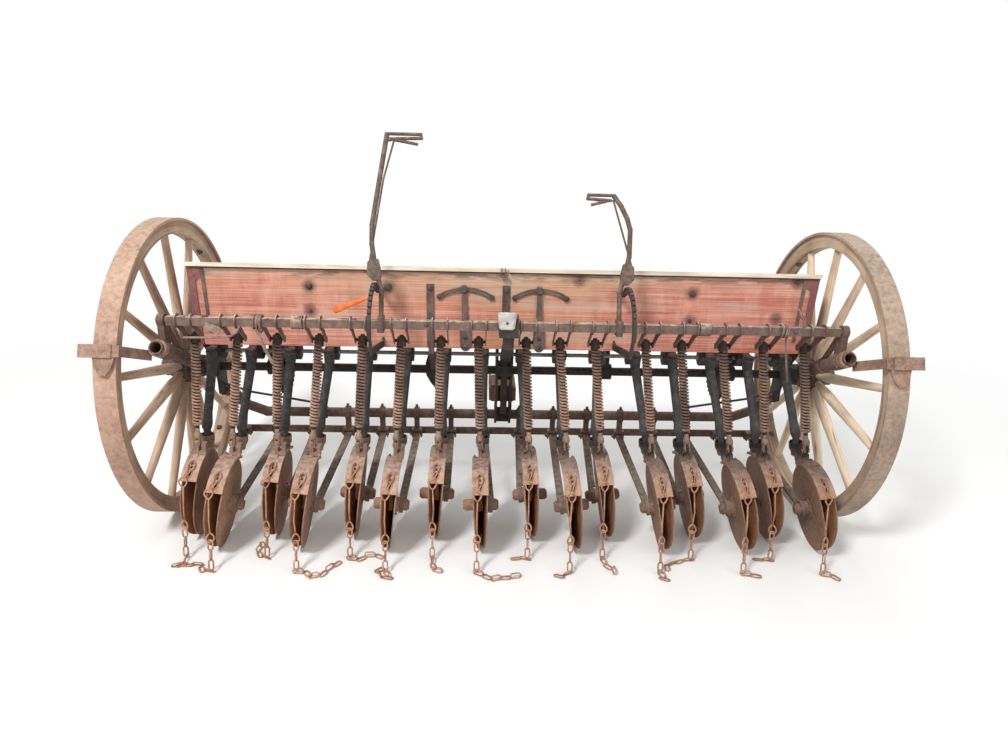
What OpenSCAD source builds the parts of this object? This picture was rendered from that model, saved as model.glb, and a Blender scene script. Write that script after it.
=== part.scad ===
// Horse-drawn grain drill with 16 double-disc openers, at its real size in millimetres.
// X runs along the axle to the right seen from behind, Y points the way it travels, Z is up.
// Origin: on the ground under the middle of the axle.

/* [Wheels] */
// Outer diameter of the steel tyre
wheel_d = 1220; // [1100:10:1320]
// Width of the tyre
tyre_w = 77; // [60:1:100]
// Thickness of the tyre
tyre_t = 10; // [6:1:14]
// Distance from a hopper end to the middle of its tyre
wheel_gap = 151.3; // [140:0.1:170]
// Number of spokes in a wheel
spokes = 14; // [10:2:16]
// Width of the wooden rim
rim_w = 52; // [40:1:60]
// Depth of the wooden rim
rim_h = 52; // [40:1:60]
// Radius of the hub where the spokes stand
hub_r = 70; // [60:1:80]
// Length of the hub
hub_len = 154; // [140:1:160]
// How far the rim stands outside the hub's middle
dish = 25; // [0:1:30]

/* [Axle and frame] */
// Diameter of the axle
axle_d = 36; // [30:1:40]
// Outer diameter of the side pipes
side_pipe_d = 48; // [42:1:52]
// Wall of the side pipes
side_pipe_wall = 4; // [3:0.5:6]
// Slope of the side pipes, up towards the rear
side_pipe_slope = 25; // [20:1:30]
// Length of a side pipe
side_pipe_len = 425; // [400:5:450]
// Outer diameter of the low cross pipe
cross_pipe_d = 42; // [36:1:46]
// Height of the low cross pipe
cross_pipe_z = 382; // [370:1:400]
// Cross pipe's middle ahead of the axle
cross_pipe_y = 60; // [50:1:70]

/* [Hopper] */
// Thickness of its boards
board = 22; // [16:1:28]
// Thickness of the cast end plates
end_t = 14; // [10:1:18]
// Height of the rear board's top edge
hopper_top = 1066; // [1040:1:1080]
// Height of the hopper's underside
hopper_floor = 752; // [745:1:760]
// Rear board's outer face behind the axle, at its top
back_top_y = 190; // [180:1:200]
// Rear board's outer face behind the axle, at its foot
back_foot_y = 165; // [155:1:175]
// Front board's outer face ahead of the axle
front_y = 165; // [150:1:180]
// Slope of the lids, down towards the front
lid_slope = 12; // [10:1:15]
// Thickness of a lid
lid_t = 16; // [12:1:20]

/* [Openers] */
// Distance between two rows; the hopper is as long as all of them
spacing = 152.4; // [150:0.1:154]
// Diameter of a disc
disc_d = 342; // [330:1:356]
// Thickness of a disc
disc_t = 4; // [3:0.5:5]
// Half the angle between the two discs of an opener
disc_toe = 4.5; // [4:0.1:5]
// Direction from the discs' meeting point back up to their centre, from the vertical
meet_angle = 50; // [45:1:55]
// Middle of the front rank's discs behind the axle
front_rank_y = 295; // [285:1:305]
// Middle of the rear rank's discs behind the axle
rear_rank_y = 385; // [375:1:395]
// Width of the cover over the discs
cover_w = 62; // [56:1:66]
// Outer diameter of a pressure spring
spring_d = 38; // [34:1:40]
// Number of turns in a pressure spring
spring_turns = 25; // [18:1:30]

/* [Pressure bars] */
// Side of the square bars
bar_side = 31; // [28:1:34]
// Height of the bars
bar_z = 903; // [895:1:910]
// Bars behind the axle
bar_y = 380; // [375:1:385]
// Clear width between the two arms of a yoke
yoke_gap = 50; // [46:1:54]
// Thickness of a yoke arm
yoke_t = 4; // [3:1:6]
// Radius of the ratchet sectors beside the levers
sector_r = 150; // [140:1:160]
// Forward lean of the levers
lever_lean = 18; // [10:1:22]

/* [Fits] */
// Radial play of a turning fit
fit = 0.05; // [0.02:0.01:0.1]
// Gap left between a seated piece and its seat
seat = 0.2; // [0.1:0.1:0.3]

/* [Hidden] */

// Curves are drawn with this many steps
$fn = 48;

LEFT = -1;
RIGHT = 1;

// Openers: rank (0 front, 1 rear), how far its yoke stands to the right of its row,
// and how far its foot stands out to the right of its yoke
RANK = 0;
SHIFT = 1;
SPLAY = 2;
OPENERS = [
    [0, -28, -53], [1, -22, -102], [0, -29, -48], [1, -25, -86],
    [0, -15, -54], [1, -21, -54], [0, -24, -23], [1, -34, 23],
    [0, -5, 47], [1, -28, 87], [0, -45, 91], [1, -3, 110],
    [0, -16, 114], [1, -9, 142], [0, -3, 113], [1, 5, 126]];
count = len(OPENERS);
half = count / 2;

// The hopper spans the rows, and the wheels stand beside it
hopper_len = count * spacing;
half_hopper = hopper_len / 2;
track = hopper_len + 2 * wheel_gap;

wheel_r = wheel_d / 2;
axle_z = wheel_r;
axle_r = axle_d / 2;
hub_x = track / 2 - dish;
hub_in = hub_x - hub_len / 2;
hub_out = hub_x + hub_len / 2;
collar_t = 12;
hub_play = 2;

// Side frames
plate_in = half_hopper - 23;
plate_t = 14;
plate_out = plate_in + plate_t;
plate_back = 150;
plate_front = 135;
plate_foot = 478;
boss_end = hub_in - hub_play - collar_t - 9;
side_pipe_x = half_hopper + 31;
side_pipe_r = side_pipe_d / 2;
pipe_start = 80;
socket_start = 74;
socket_end = 150;
socket_r = side_pipe_r + 9;

// Hopper outline
floor_front_y = 40;
knee_z = 860;
board_half = half_hopper - end_t;
back_tilt = atan((back_top_y - back_foot_y) / (hopper_top - hopper_floor));
back_h = (hopper_top - hopper_floor) / cos(back_tilt);
function lid_line(y) = hopper_top - (y + back_top_y) * tan(lid_slope);
function back_y(z) = -back_top_y + (hopper_top - z) * tan(back_tilt);

// Lid hinges along the front edge
hinge_y = front_y + 11;
hinge_r = 8;
hinge_pin_r = 4;
hinge_z = lid_line(front_y) - 2;
// Middle of each hinge from the middle of the drill
HINGE_X = [spacing, 4 * spacing, 7 * spacing];
knuckle = 30;

// Cups and feed shaft under the floor
cup_off = 13;
cup_y = -105;
cup_w = 44;
cup_top_t = 20;
drum_r = 34;
spool_r = 20;
// The outermost spool ends short of the side casting
spool_len = spacing / 2 - (half_hopper - plate_in) - cup_off - cup_w / 2 - 4;
shaft_r = 8;
shaft_z = hopper_floor - 40;
spout_y = -200;
spout_r = 20;
spout_z = hopper_floor - 17;

disc_r = disc_d / 2;
RANK_Y = [-front_rank_y, -rear_rank_y];

// The rods hang from the yoke ends and stand in the eyes of the boots
yoke_end_y = -300;
yoke_end_z = 818;
eye_y = -330;
eye_z = 400;

function row_x(k) = (k - (count - 1) / 2) * spacing;
function yoke_x(k) = row_x(k) + OPENERS[k][SHIFT];
function cup_x(k) = row_x(k) - cup_off;
function lean(k) = atan(OPENERS[k][SPLAY] / yoke_end_z);
function disc_rise(k, s) = cos(disc_toe) * sin(lean(k)) - s * sin(disc_toe) * cos(meet_angle) * cos(lean(k));
function disc_drop(k, s) = disc_r * sqrt(1 - pow(disc_rise(k, s), 2)) + disc_t / 2 * abs(disc_rise(k, s))
    + disc_r * (1 - cos(disc_toe)) * cos(meet_angle) * cos(lean(k))
    - s * disc_r * sin(disc_toe) * sin(lean(k));
function foot_z(k) = max(disc_drop(k, 1), disc_drop(k, -1));
function foot_x(k) = yoke_x(k) + (yoke_end_z - foot_z(k)) * tan(lean(k));
function foot_y(k) = RANK_Y[OPENERS[k][RANK]];
// A point of the leaning opener, in the drill's own frame
function at_foot(k, p) = [foot_x(k) + p[0] * cos(lean(k)) - p[2] * sin(lean(k)),
    foot_y(k) + p[1], foot_z(k) + p[0] * sin(lean(k)) + p[2] * cos(lean(k))];
function eye_x(k) = foot_x(k) - (eye_z - foot_z(k)) * tan(lean(k));
function first(side) = side == LEFT ? 0 : half;

// Clamps, drag bars and bearing caps of the openers
clamp_w = 22;
drag_y = cross_pipe_y;
drag_z = cross_pipe_z - 100;
drag_pin_r = 5;
lug_gap = 34;
lug_t = 6;
drag_w = 32;
drag_t = 8;
flange_r = 44;
step_r = 30;
step_h = 16;
hub_cap_r = 23;
hub_cap_h = 56;
ring_t = 16;
eye_ring_at = disc_r * sin(disc_toe) + step_h + 1 + ring_t / 2;

// Boots with their covers and funnels
cover_r = disc_r + 15;
cover_t = 3;
cover_lip = 8;
cover_from = 62;
cover_to = 141;
slot_at = 121;
funnel_r = 27;
funnel_off = 10;
funnel_y = -255;
funnel_low = 176;
funnel_top = 236;
funnel_cup = 26;

steel = "dimgray";
rust = "peru";
wood = "tan";
paint = "indianred";
iron = "#2b2a2a";

module both_sides() { children(); mirror([1, 0, 0]) children(); }
module x_rod(r, x0, x1, y, z) { translate([x0, y, z]) rotate([0, 90, 0]) cylinder(r = r, h = x1 - x0); }
module block(x0, x1, y0, y1, z0, z1) { translate([x0, y0, z0]) cube([x1 - x0, y1 - y0, z1 - z0]); }
// A plate whose outline is drawn in Y and Z, standing from x0 to x1
module yz_plate(x0, x1) { translate([x0, 0, 0]) rotate([90, 0, 90]) linear_extrude(x1 - x0) children(); }
// Turns a child that stands along Z so that it runs from a to b
module along(a, b) {
    d = b - a;
    translate(a) rotate([0, acos(d[2] / norm(d)), atan2(d[1], d[0])]) children();
}
module rod(r, a, b) { along(a, b) cylinder(r = r, h = norm(b - a)); }
module tube_run(r, points) {
    for (i = [0 : len(points) - 2]) rod(r, points[i], points[i + 1]);
    for (i = [1 : len(points) - 2]) translate(points[i]) sphere(r = r * 1.06);
}
// A flat bar from a to b, its width level
module flat_bar(a, b, w, t, short = 0) {
    d = b - a;
    translate(a) rotate([0, -asin(d[2] / norm(d)), atan2(d[1], d[0])])
        translate([0, -w / 2, -t / 2]) cube([norm(d) - short, w, t]);
}
module on_wheel(side) { translate([side * track / 2, 0, axle_z]) rotate([0, 90, 0]) children(); }
module on_foot(k) { translate([foot_x(k), foot_y(k), foot_z(k)]) rotate([0, -lean(k), 0]) children(); }
// A disc's own frame: Z is the disc's axle, pointing away from its partner
module on_disc(s) {
    rotate([meet_angle, 0, 0]) translate([0, 0, -disc_r]) rotate([0, s * disc_toe, 0])
        translate([0, 0, disc_r]) rotate([0, s * 90, 0]) children();
}
module on_side_pipe(side) {
    translate([side * side_pipe_x, 0, axle_z]) rotate([90 - side_pipe_slope, 0, 0]) children();
}
// The rear board's outer face: X stays, Y runs up it from its top edge, Z stands out of it
module on_back() { translate([0, -back_top_y, hopper_top]) rotate([90 + back_tilt, 0, 0]) children(); }
// A gear's outline: tooth tips at r, four points to a tooth
module gear_outline(r, teeth, depth) {
    step = 360 / teeth;
    polygon([for (i = [0 : teeth - 1]) for (p = [[0, 0], [0.25, 0], [0.45, -depth], [0.8, -depth]])
        (r + p[1]) * [cos((i + p[0]) * step), sin((i + p[0]) * step)]]);
}

// The axle with the collars that keep the wheels in place
module axle() {
    color(steel) {
        x_rod(axle_r, -hub_out - 16, hub_out + 16, 0, axle_z);
        both_sides() {
            x_rod(axle_r + 12, hub_out + hub_play, hub_out + hub_play + collar_t, 0, axle_z);
            x_rod(axle_r + 10, hub_in - hub_play - collar_t, hub_in - hub_play, 0, axle_z);
        }
    }
}

// Cast plates between the hopper's ends, the axle, the side pipes and the cross pipe
axle_drop = hopper_floor - axle_z;
waist = 0.28 * axle_drop;
module side_castings() {
    color(iron) both_sides() difference() {
        union() {
            yz_plate(plate_in, plate_out) polygon([[-plate_back, hopper_floor - seat],
                [plate_front, hopper_floor - seat], [62, axle_z + waist], [44, axle_z - 30], [50, plate_foot],
                [0, plate_foot], [-44, axle_z - 30], [-62, axle_z + waist]]);
            yz_plate(plate_out - 2, plate_out + 10) polygon([[-24, hopper_floor - 2], [24, hopper_floor - 2],
                [12, axle_z], [12, plate_foot + 6], [-4, plate_foot + 6], [-12, axle_z]]);
            x_rod(42, plate_in, boss_end, 0, axle_z);
            on_side_pipe(1) translate([0, 0, socket_start])
                cylinder(r = socket_r, h = socket_end - socket_start);
            block(plate_in + 1, side_pipe_x - side_pipe_r + 2, -130, -66, axle_z + 24, axle_z + 68);
        }
        x_rod(axle_r + seat, plate_in - 1, boss_end + 1, 0, axle_z);
        on_side_pipe(1) translate([0, 0, pipe_start - seat]) cylinder(r = side_pipe_r + seat, h = 200);
        for (y = [-58, 58])
            x_rod(0.12 * axle_drop, plate_in - 1, plate_out + 1, y, hopper_floor - 0.3 * axle_drop);
    }
}

// Side pipes with a sleeve near the casting and an open rear end
sleeve_from = 90;
sleeve_len = 62;
module side_pipes() {
    color(rust) both_sides() on_side_pipe(1) translate([0, 0, pipe_start]) difference() {
        union() {
            cylinder(r = side_pipe_r, h = side_pipe_len);
            translate([0, 0, sleeve_from]) cylinder(r = side_pipe_r + 5, h = sleeve_len);
        }
        translate([0, 0, 40]) cylinder(r = side_pipe_r - side_pipe_wall, h = side_pipe_len);
    }
}

// Arms that stand on the side pipes with two legs and hold the outer ends of the bars
arm_at = bar_y / cos(side_pipe_slope);
arm_w = 24;
brace_at = arm_at - 120;
journal_r = 13;
module bar_arms() {
    brace_y = -brace_at * cos(side_pipe_slope);
    brace_z = axle_z + brace_at * sin(side_pipe_slope) + side_pipe_r + 2;
    color(rust) both_sides() difference() {
        union() {
            on_side_pipe(1) translate([0, 0, arm_at - 22]) cylinder(r = side_pipe_r + 8, h = 44);
            on_side_pipe(1) translate([0, 0, brace_at - 12]) cylinder(r = side_pipe_r + 7, h = 24);
            yz_plate(side_pipe_x - arm_w / 2, side_pipe_x + arm_w / 2) polygon([[-bar_y - 20, 800],
                [-bar_y + 26, 800], [-bar_y + 17, bar_z], [-bar_y - 17, bar_z]]);
            yz_plate(side_pipe_x - arm_w / 2 + 4, side_pipe_x + arm_w / 2 - 4)
                polygon([[brace_y - 9, brace_z], [brace_y + 9, brace_z], [-bar_y + 21, bar_z - 4],
                    [-bar_y + 2, bar_z - 14]]);
            x_rod(24, side_pipe_x - arm_w / 2, side_pipe_x + arm_w / 2, -bar_y, bar_z);
        }
        on_side_pipe(1) translate([0, 0, brace_at - 60]) cylinder(r = side_pipe_r + seat, h = 240);
        x_rod(journal_r + fit, side_pipe_x - arm_w, side_pipe_x + arm_w, -bar_y, bar_z);
    }
}

// Middle casting: hopper to axle, cross pipe and the bearing of both bars
centre_w = 36;
centre_t = 10;
module centre_post() {
    color(iron) difference() {
        union() {
            both_sides() yz_plate(centre_w - centre_t, centre_w) polygon([[-95, hopper_floor - seat],
                [95, hopper_floor - seat], [60, axle_z], [92, cross_pipe_z + 10], [92, cross_pipe_z - 30],
                [28, cross_pipe_z - 30], [-40, 440], [-62, axle_z]]);
            block(-14, 14, -56, -40, 430, hopper_floor - seat);
            block(-27, 27, -56, -44, axle_z - 10, axle_z + 30);
            yz_plate(-20, 20) polygon([[-bar_y - 22, bar_z], [-bar_y + 22, bar_z], [-bar_y + 30, 830],
                [-50, 690], [-50, 655], [-bar_y - 8, 815]]);
            block(-centre_w, centre_w, -bar_y - 36, -bar_y + 36, bar_z - 36, bar_z + 36);
            x_rod(cross_pipe_d / 2 + 12, -centre_w, centre_w, cross_pipe_y, cross_pipe_z);
            x_rod(axle_r + 24, -centre_w, centre_w, 0, axle_z);
        }
        x_rod(journal_r + fit, -centre_w - 1, centre_w + 1, -bar_y, bar_z);
        x_rod(cross_pipe_d / 2 + seat, -centre_w - 1, centre_w + 1, cross_pipe_y, cross_pipe_z);
        x_rod(axle_r + seat, -centre_w - 1, centre_w + 1, 0, axle_z);
        x_rod(shaft_r + seat, -centre_w - 1, centre_w + 1, cup_y, shaft_z);
    }
}

// Castings that hang the axle under the hopper, and the pointed one that the left strap ends on
gear_x = half_hopper - 293;
HANGER_X = [3 * spacing - 17, gear_x + 51];
shield_x = -290;
shield_y = -48;
module axle_hangers() {
    color(iron) {
        both_sides() for (x = HANGER_X) difference() {
            union() {
                yz_plate(x - 8, x + 8) polygon([[-34, hopper_floor - seat], [70, hopper_floor - seat],
                    [30, axle_z], [-30, axle_z]]);
                x_rod(axle_r + 16, x - 22, x + 22, 0, axle_z);
            }
            x_rod(axle_r + seat, x - 23, x + 23, 0, axle_z);
        }
        difference() {
            union() {
                translate([shield_x, shield_y + 14, 0]) rotate([90, 0, 0]) linear_extrude(14)
                    translate([0, axle_z]) polygon([[-30, 80], [30, 80], [42, 40], [40, -10], [22, -44],
                        [0, -72], [-22, -44], [-40, -10], [-42, 40]]);
                x_rod(axle_r + 15, shield_x - 26, shield_x + 26, 0, axle_z);
            }
            x_rod(axle_r + seat, shield_x - 27, shield_x + 27, 0, axle_z);
        }
    }
}

// Low cross pipe, its ends bent up to the side castings
pipe_bend_x = half_hopper - 179;
pipe_end_y = 25;
pipe_end_z = 490;
module cross_pipe() {
    color(rust) {
        x_rod(cross_pipe_d / 2, -pipe_bend_x, pipe_bend_x, cross_pipe_y, cross_pipe_z);
        both_sides() {
            tube_run(cross_pipe_d / 2, [[pipe_bend_x - 20, cross_pipe_y, cross_pipe_z],
                [pipe_bend_x, cross_pipe_y, cross_pipe_z],
                [pipe_bend_x + 90, cross_pipe_y - 8, cross_pipe_z + 38],
                [plate_in - 22, pipe_end_y, pipe_end_z + 6]]);
            x_rod(24, plate_in - 30, plate_in - seat, pipe_end_y, pipe_end_z);
        }
    }
}

// Thin rods that brace the axle's ends against the cross pipe
truss_r = 5;
truss_x = pipe_bend_x - 250;
truss_end = [plate_in - 6, -20, pipe_end_z + 50];
module truss_rods() {
    post = [truss_x, 0, cross_pipe_z + 63];
    color(iron) both_sides() {
        tube_run(truss_r, [truss_end, [pipe_bend_x + 40, -14, pipe_end_z + 10], post]);
        x_rod(truss_r + 5, plate_in - 12, plate_in - seat, truss_end[1], truss_end[2]);
        difference() {
            union() {
                x_rod(cross_pipe_d / 2 + 7, truss_x - 12, truss_x + 12, cross_pipe_y, cross_pipe_z);
                rod(truss_r + 4, post + [0, -6, 6], [truss_x, cross_pipe_y - 14, cross_pipe_z + 16]);
            }
            x_rod(cross_pipe_d / 2 + seat, truss_x - 20, truss_x + 20, cross_pipe_y, cross_pipe_z);
        }
    }
}

// Eye clamps on the cross pipe, each with the pin of one drag bar; the outermost hang on the rail alone
module drag_clamps() {
    color(rust) for (k = [0 : count - 1]) translate([row_x(k), 0, 0]) {
        if (abs(row_x(k)) < pipe_bend_x - 20) difference() {
            union() {
                x_rod(cross_pipe_d / 2 + 8, -clamp_w / 2, clamp_w / 2, cross_pipe_y, cross_pipe_z);
                block(-clamp_w / 2, clamp_w / 2, drag_y - 12, drag_y + 12, drag_z + 22, cross_pipe_z);
                translate([0, cross_pipe_y, cross_pipe_z + cross_pipe_d / 2 + 4]) cylinder(r = 6, h = 16);
            }
            x_rod(cross_pipe_d / 2 + seat, -clamp_w, clamp_w, cross_pipe_y, cross_pipe_z);
        }
        block(-lug_gap / 2 - lug_t, lug_gap / 2 + lug_t, drag_y - 18, drag_y + 18, drag_z + 18, drag_z + 28);
        both_sides() block(lug_gap / 2, lug_gap / 2 + lug_t, drag_y - 12, drag_y + 18,
            drag_z - 12, drag_z + 20);
        x_rod(drag_pin_r, -lug_gap / 2 - 1, lug_gap / 2 + 1, drag_y, drag_z);
    }
}

// Flat rail that ties the clamps together
rail_half = row_x(count - 1) + 22;
module drag_rail() {
    color(rust) block(-rail_half, rail_half, drag_y + 18 + seat, drag_y + 26, drag_z - 6, drag_z + 26);
}

// Sawn-off tongue with the irons and the cross bolt hole that a tongue is fastened by
tongue_w = 100;
tongue_h = 76;
tongue_z = 430;
tongue_front = 330;
bolt_r = 10;
module tongue_stub() {
    color(wood) difference() {
        union() {
            block(-tongue_w / 2, tongue_w / 2, 96, 250, tongue_z, tongue_z + tongue_h);
            both_sides() {
                block(tongue_w / 2, tongue_w / 2 + 10, 92, tongue_front,
                    tongue_z + 8, tongue_z + tongue_h - 8);
                block(26, tongue_w / 2 + 10, 85.5, 96, tongue_z + 8, tongue_z + tongue_h - 8);
            }
        }
        x_rod(bolt_r, -80, 80, tongue_front - 32, tongue_z + tongue_h / 2);
    }
}

// Bars with blades that scrape the tyres, clamped on the side pipes
scraper_angle = 22;
scraper_gap = 6;
scraper_t = 8;
scraper_h = 40;
scrape_at = 476;
scraper_in = track / 2 - 54;
scraper_out = track / 2 + 75;
scrape_leg = [side_pipe_x + 31, -466, 0];
module scrapers() {
    bar_back = wheel_r + scraper_gap + scraper_t;
    color(rust) both_sides() {
        difference() {
            on_side_pipe(1) translate([0, 0, scrape_at - 14]) cylinder(r = side_pipe_r + 8, h = 28);
            on_side_pipe(1) translate([0, 0, scrape_at - 40]) cylinder(r = side_pipe_r + seat, h = 100);
        }
        translate([0, 0, axle_z]) rotate([-scraper_angle, 0, 0]) {
            translate([0, -bar_back, 0]) {
                block(scraper_in, scraper_out, 0, scraper_t, -scraper_h / 2, scraper_h / 2);
                block(track / 2 - 30, scraper_out + 4, -5, 1, -scraper_h / 2 - 3, scraper_h / 2 + 3);
                translate([track / 2, scraper_t, -scraper_h / 2 + 4]) rotate([90, 0, 0]) linear_extrude(5)
                    polygon([[-37, 0], [37, 0], [31, -30], [13, -64], [-10, -68], [-27, -44], [-35, -20]]);
            }
            flat_bar_side([scraper_in + 5, scraper_t / 2 - bar_back, 0], scrape_leg);
        }
    }
}
module flat_bar_side(a, b) {
    d = b - a;
    translate(a) rotate([0, 0, atan2(d[1], d[0])])
        translate([0, -scraper_t / 2, -scraper_h / 2 + 2]) cube([norm(d), scraper_t, scraper_h - 4]);
}

module hopper_back() {
    color(paint) yz_plate(-board_half, board_half) polygon([[-back_top_y, hopper_top],
        [-back_foot_y, hopper_floor], [-back_foot_y + board, hopper_floor],
        [-back_top_y + board, lid_line(-back_top_y + board)]]);
}

module hopper_front() {
    color(paint) yz_plate(-board_half, board_half) polygon([[front_y, lid_line(front_y)],
        [front_y - board, lid_line(front_y - board)], [front_y - board, knee_z], [front_y, knee_z]]);
}

// Floor, sloping front bottom board and the partition under the joint of the lids
module hopper_floor() {
    color(wood) difference() {
        union() {
            yz_plate(-board_half, board_half) polygon([[-back_foot_y + board + seat, hopper_floor],
                [floor_front_y, hopper_floor], [front_y, knee_z - seat], [front_y - board - 8, knee_z - seat],
                [floor_front_y - 10, hopper_floor + board],
                [-back_foot_y + board + seat, hopper_floor + board]]);
            yz_plate(-board / 2, board / 2) polygon([[-back_foot_y + board + seat, hopper_floor + 5],
                [floor_front_y, hopper_floor + 5], [front_y - board - seat, knee_z],
                [front_y - board - seat, lid_line(front_y - board) - 1],
                [-back_top_y + board + 2, lid_line(-back_top_y + board) - 1]]);
        }
        for (k = [0 : count - 1]) translate([cup_x(k), cup_y, hopper_floor - 1])
            cylinder(r = 14, h = board + 2);
    }
}

// Cast end plates, each with a rear flange that widens in a curve at its top
flange_w = 27;
flange_t = 5;
gusset_w = 23;
gusset_h = 62;
module hopper_ends() {
    color(paint) both_sides() {
        yz_plate(board_half + seat, half_hopper) polygon([[-back_top_y - flange_t + 2, hopper_top - 1],
            [-back_foot_y - flange_t + 2, hopper_floor], [floor_front_y, hopper_floor], [front_y, knee_z],
            [front_y, lid_line(front_y)], [-back_top_y + 10, lid_line(-back_top_y + 10)]]);
        on_back() translate([0, 0, seat]) linear_extrude(flange_t) difference() {
            union() {
                translate([half_hopper - flange_w, 1 - back_h]) square([flange_w - 1, back_h - 3]);
                translate([half_hopper - flange_w - gusset_w, -gusset_h])
                    square([gusset_w + 4, gusset_h - 4]);
            }
            translate([half_hopper - flange_w - gusset_w, -gusset_h]) circle(r = gusset_w - 1);
        }
    }
}

// Straps and pins of the lid hinges, on the front board
module lid_hinges() {
    color(steel) both_sides() for (x = HINGE_X) {
        x_rod(hinge_pin_r, x - knuckle / 2 - 1, x + knuckle / 2 + 1, hinge_y, hinge_z);
        for (s = [-1, 1]) translate([x + s * knuckle, 0, 0]) {
            x_rod(hinge_r, -knuckle / 2 + 1, knuckle / 2 - 1, hinge_y, hinge_z);
            block(-knuckle / 2 + 1, knuckle / 2 - 1, front_y + seat, front_y + 5, hinge_z - 70, hinge_z);
            block(-knuckle / 2 + 1, knuckle / 2 - 1, front_y + 3, hinge_y, hinge_z - 8, hinge_z);
        }
    }
}

module lid(side) {
    x0 = board / 8;
    x1 = half_hopper + 6;
    lo = side == LEFT ? -x1 : x0;
    hi = side == LEFT ? -x0 : x1;
    rise = seat / cos(lid_slope);
    back = -back_top_y - 10;
    front = front_y + 1;
    color(wood) difference() {
        union() {
            yz_plate(lo, hi) polygon([[back, lid_line(back) + rise], [front, lid_line(front) + rise],
                [front, lid_line(front) + rise + lid_t], [back, lid_line(back) + rise + lid_t]]);
            for (x = HINGE_X) translate([side * x, 0, 0]) {
                x_rod(hinge_r, -knuckle / 2 + 2, knuckle / 2 - 2, hinge_y, hinge_z);
                block(-knuckle / 2 + 2, knuckle / 2 - 2, front - 0.8, hinge_y,
                    hinge_z + 2, hinge_z + hinge_r);
            }
        }
        for (x = HINGE_X) translate([side * x, 0, 0])
            x_rod(hinge_pin_r + fit, -knuckle / 2, knuckle / 2, hinge_y, hinge_z);
    }
}

// Feed cups: a drum round the shaft, the roll's spool on its outer side and a spout to the rear
module feed_cups() {
    color(iron) for (k = [0 : count - 1]) {
        side = k < half ? LEFT : RIGHT;
        translate([cup_x(k), 0, 0]) difference() {
            union() {
                block(-cup_w / 2, cup_w / 2, cup_y - 45, cup_y + 53,
                    hopper_floor - cup_top_t, hopper_floor - seat);
                x_rod(drum_r, -cup_w / 2 + 2, cup_w / 2 - 2, cup_y, shaft_z);
                mirror([side == LEFT ? 1 : 0, 0, 0]) x_rod(spool_r, 0, cup_w / 2 + spool_len, cup_y, shaft_z);
                block(-14, 14, spout_y, cup_y - 25, spout_z + 2, hopper_floor - 2.5);
                translate([0, spout_y, spout_z]) cylinder(r = spout_r, h = 13);
            }
            x_rod(shaft_r + seat, -cup_w * 2, cup_w * 2, cup_y, shaft_z);
        }
    }
}

module feed_shaft() {
    color(steel) x_rod(shaft_r, -plate_in + seat, plate_in - seat, cup_y, shaft_z);
}

// Driving gears on the axle near both ends, each turning a pinion on the feed shaft
pinion_r = 34;
gear_r = norm([cup_y, shaft_z - axle_z]) - pinion_r + 3;
module feed_gears() {
    color(iron) both_sides() difference() {
        union() {
            yz_plate(gear_x - 9, gear_x + 9) translate([0, axle_z]) rotate(8) gear_outline(gear_r, 30, 9);
            x_rod(34, gear_x - 24, gear_x + 24, 0, axle_z);
            yz_plate(gear_x - 12, gear_x + 12) translate([cup_y, shaft_z]) gear_outline(pinion_r - 3, 9, 8);
        }
        x_rod(axle_r + seat, gear_x - 25, gear_x + 25, 0, axle_z);
        x_rod(shaft_r + seat, gear_x - 13, gear_x + 13, cup_y, shaft_z);
        for (i = [0 : 4]) x_rod(18, gear_x - 10, gear_x + 10, 66 * cos(72 * i), axle_z + 66 * sin(72 * i));
    }
}

// Levers: side, foot and sector from the middle of the drill less three rows, path of the shaft as
// distance outward from the foot and along the lever, and reach of the grip
SIDE = 0;
FOOT = 1;
SECTOR = 2;
PATH = 3;
REACH = 4;
LEVERS = [
    [LEFT, 9, 26, [[0, 0], [0, 125], [24, 205], [37, 290], [37, 360], [-13, 690]], 122],
    [RIGHT, -52, -30,
        [[0, 0], [0, 130], [20, 205], [34, 262], [36, 361], [24, 402], [0, 449], [-28, 486]], 92]];
function lever_row(side) = LEVERS[side == LEFT ? 0 : 1];
function lever_x(side) = 3 * spacing + lever_row(side)[FOOT];

// Ratchet sectors beside the levers, with an arm to the rear board's top and one to its foot
sector_t = 12;
sector_w = 24;
sector_front = 34;
sector_rear = 96;
notch_pitch = 9.5;
notch_first = 22;
notches = 10;
module quadrants() {
    color(iron) for (row = LEVERS) {
        x = 3 * spacing + row[SECTOR];
        mirror([row[SIDE] == LEFT ? 1 : 0, 0, 0]) {
            translate([x, -bar_y, bar_z]) rotate([0, 90, 0]) difference() {
                rotate([0, 0, 180 - sector_front]) rotate_extrude(angle = sector_front + sector_rear)
                    translate([sector_r - sector_w, 0]) square([sector_w, sector_t]);
                for (i = [0 : notches - 1]) rotate([0, 0, 180 - notch_first + i * notch_pitch])
                    translate([sector_r - 9, -5, -1]) cube([20, 10, sector_t + 2]);
            }
            yz_plate(x + 2, x + sector_t - 2) polygon([
                [-bar_y + 60, bar_z + 118], [back_y(1006) - seat, 1006], [back_y(974) - seat, 974],
                [back_y(980) - 30, 980], [-bar_y + 82, bar_z + 98]]);
            yz_plate(x + 1, x + sector_t - 3) polygon([
                [-bar_y - 146, bar_z - 6], [-bar_y - 120, bar_z - 84], [back_y(765) - 34, 762],
                [back_y(760) - seat, 760], [back_y(796) - seat, 796], [back_y(796) - 30, 788],
                [-bar_y - 104, bar_z - 62], [-bar_y - 128, bar_z - 6]]);
        }
    }
}

// Feed index arcs with their pointer bars: middle of the arc and lean of the pointer's top
INDEX = [[-163, -2], [130, -2]];
index_r = 185;
index_pivot = -256;
index_half_angle = 33;
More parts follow.
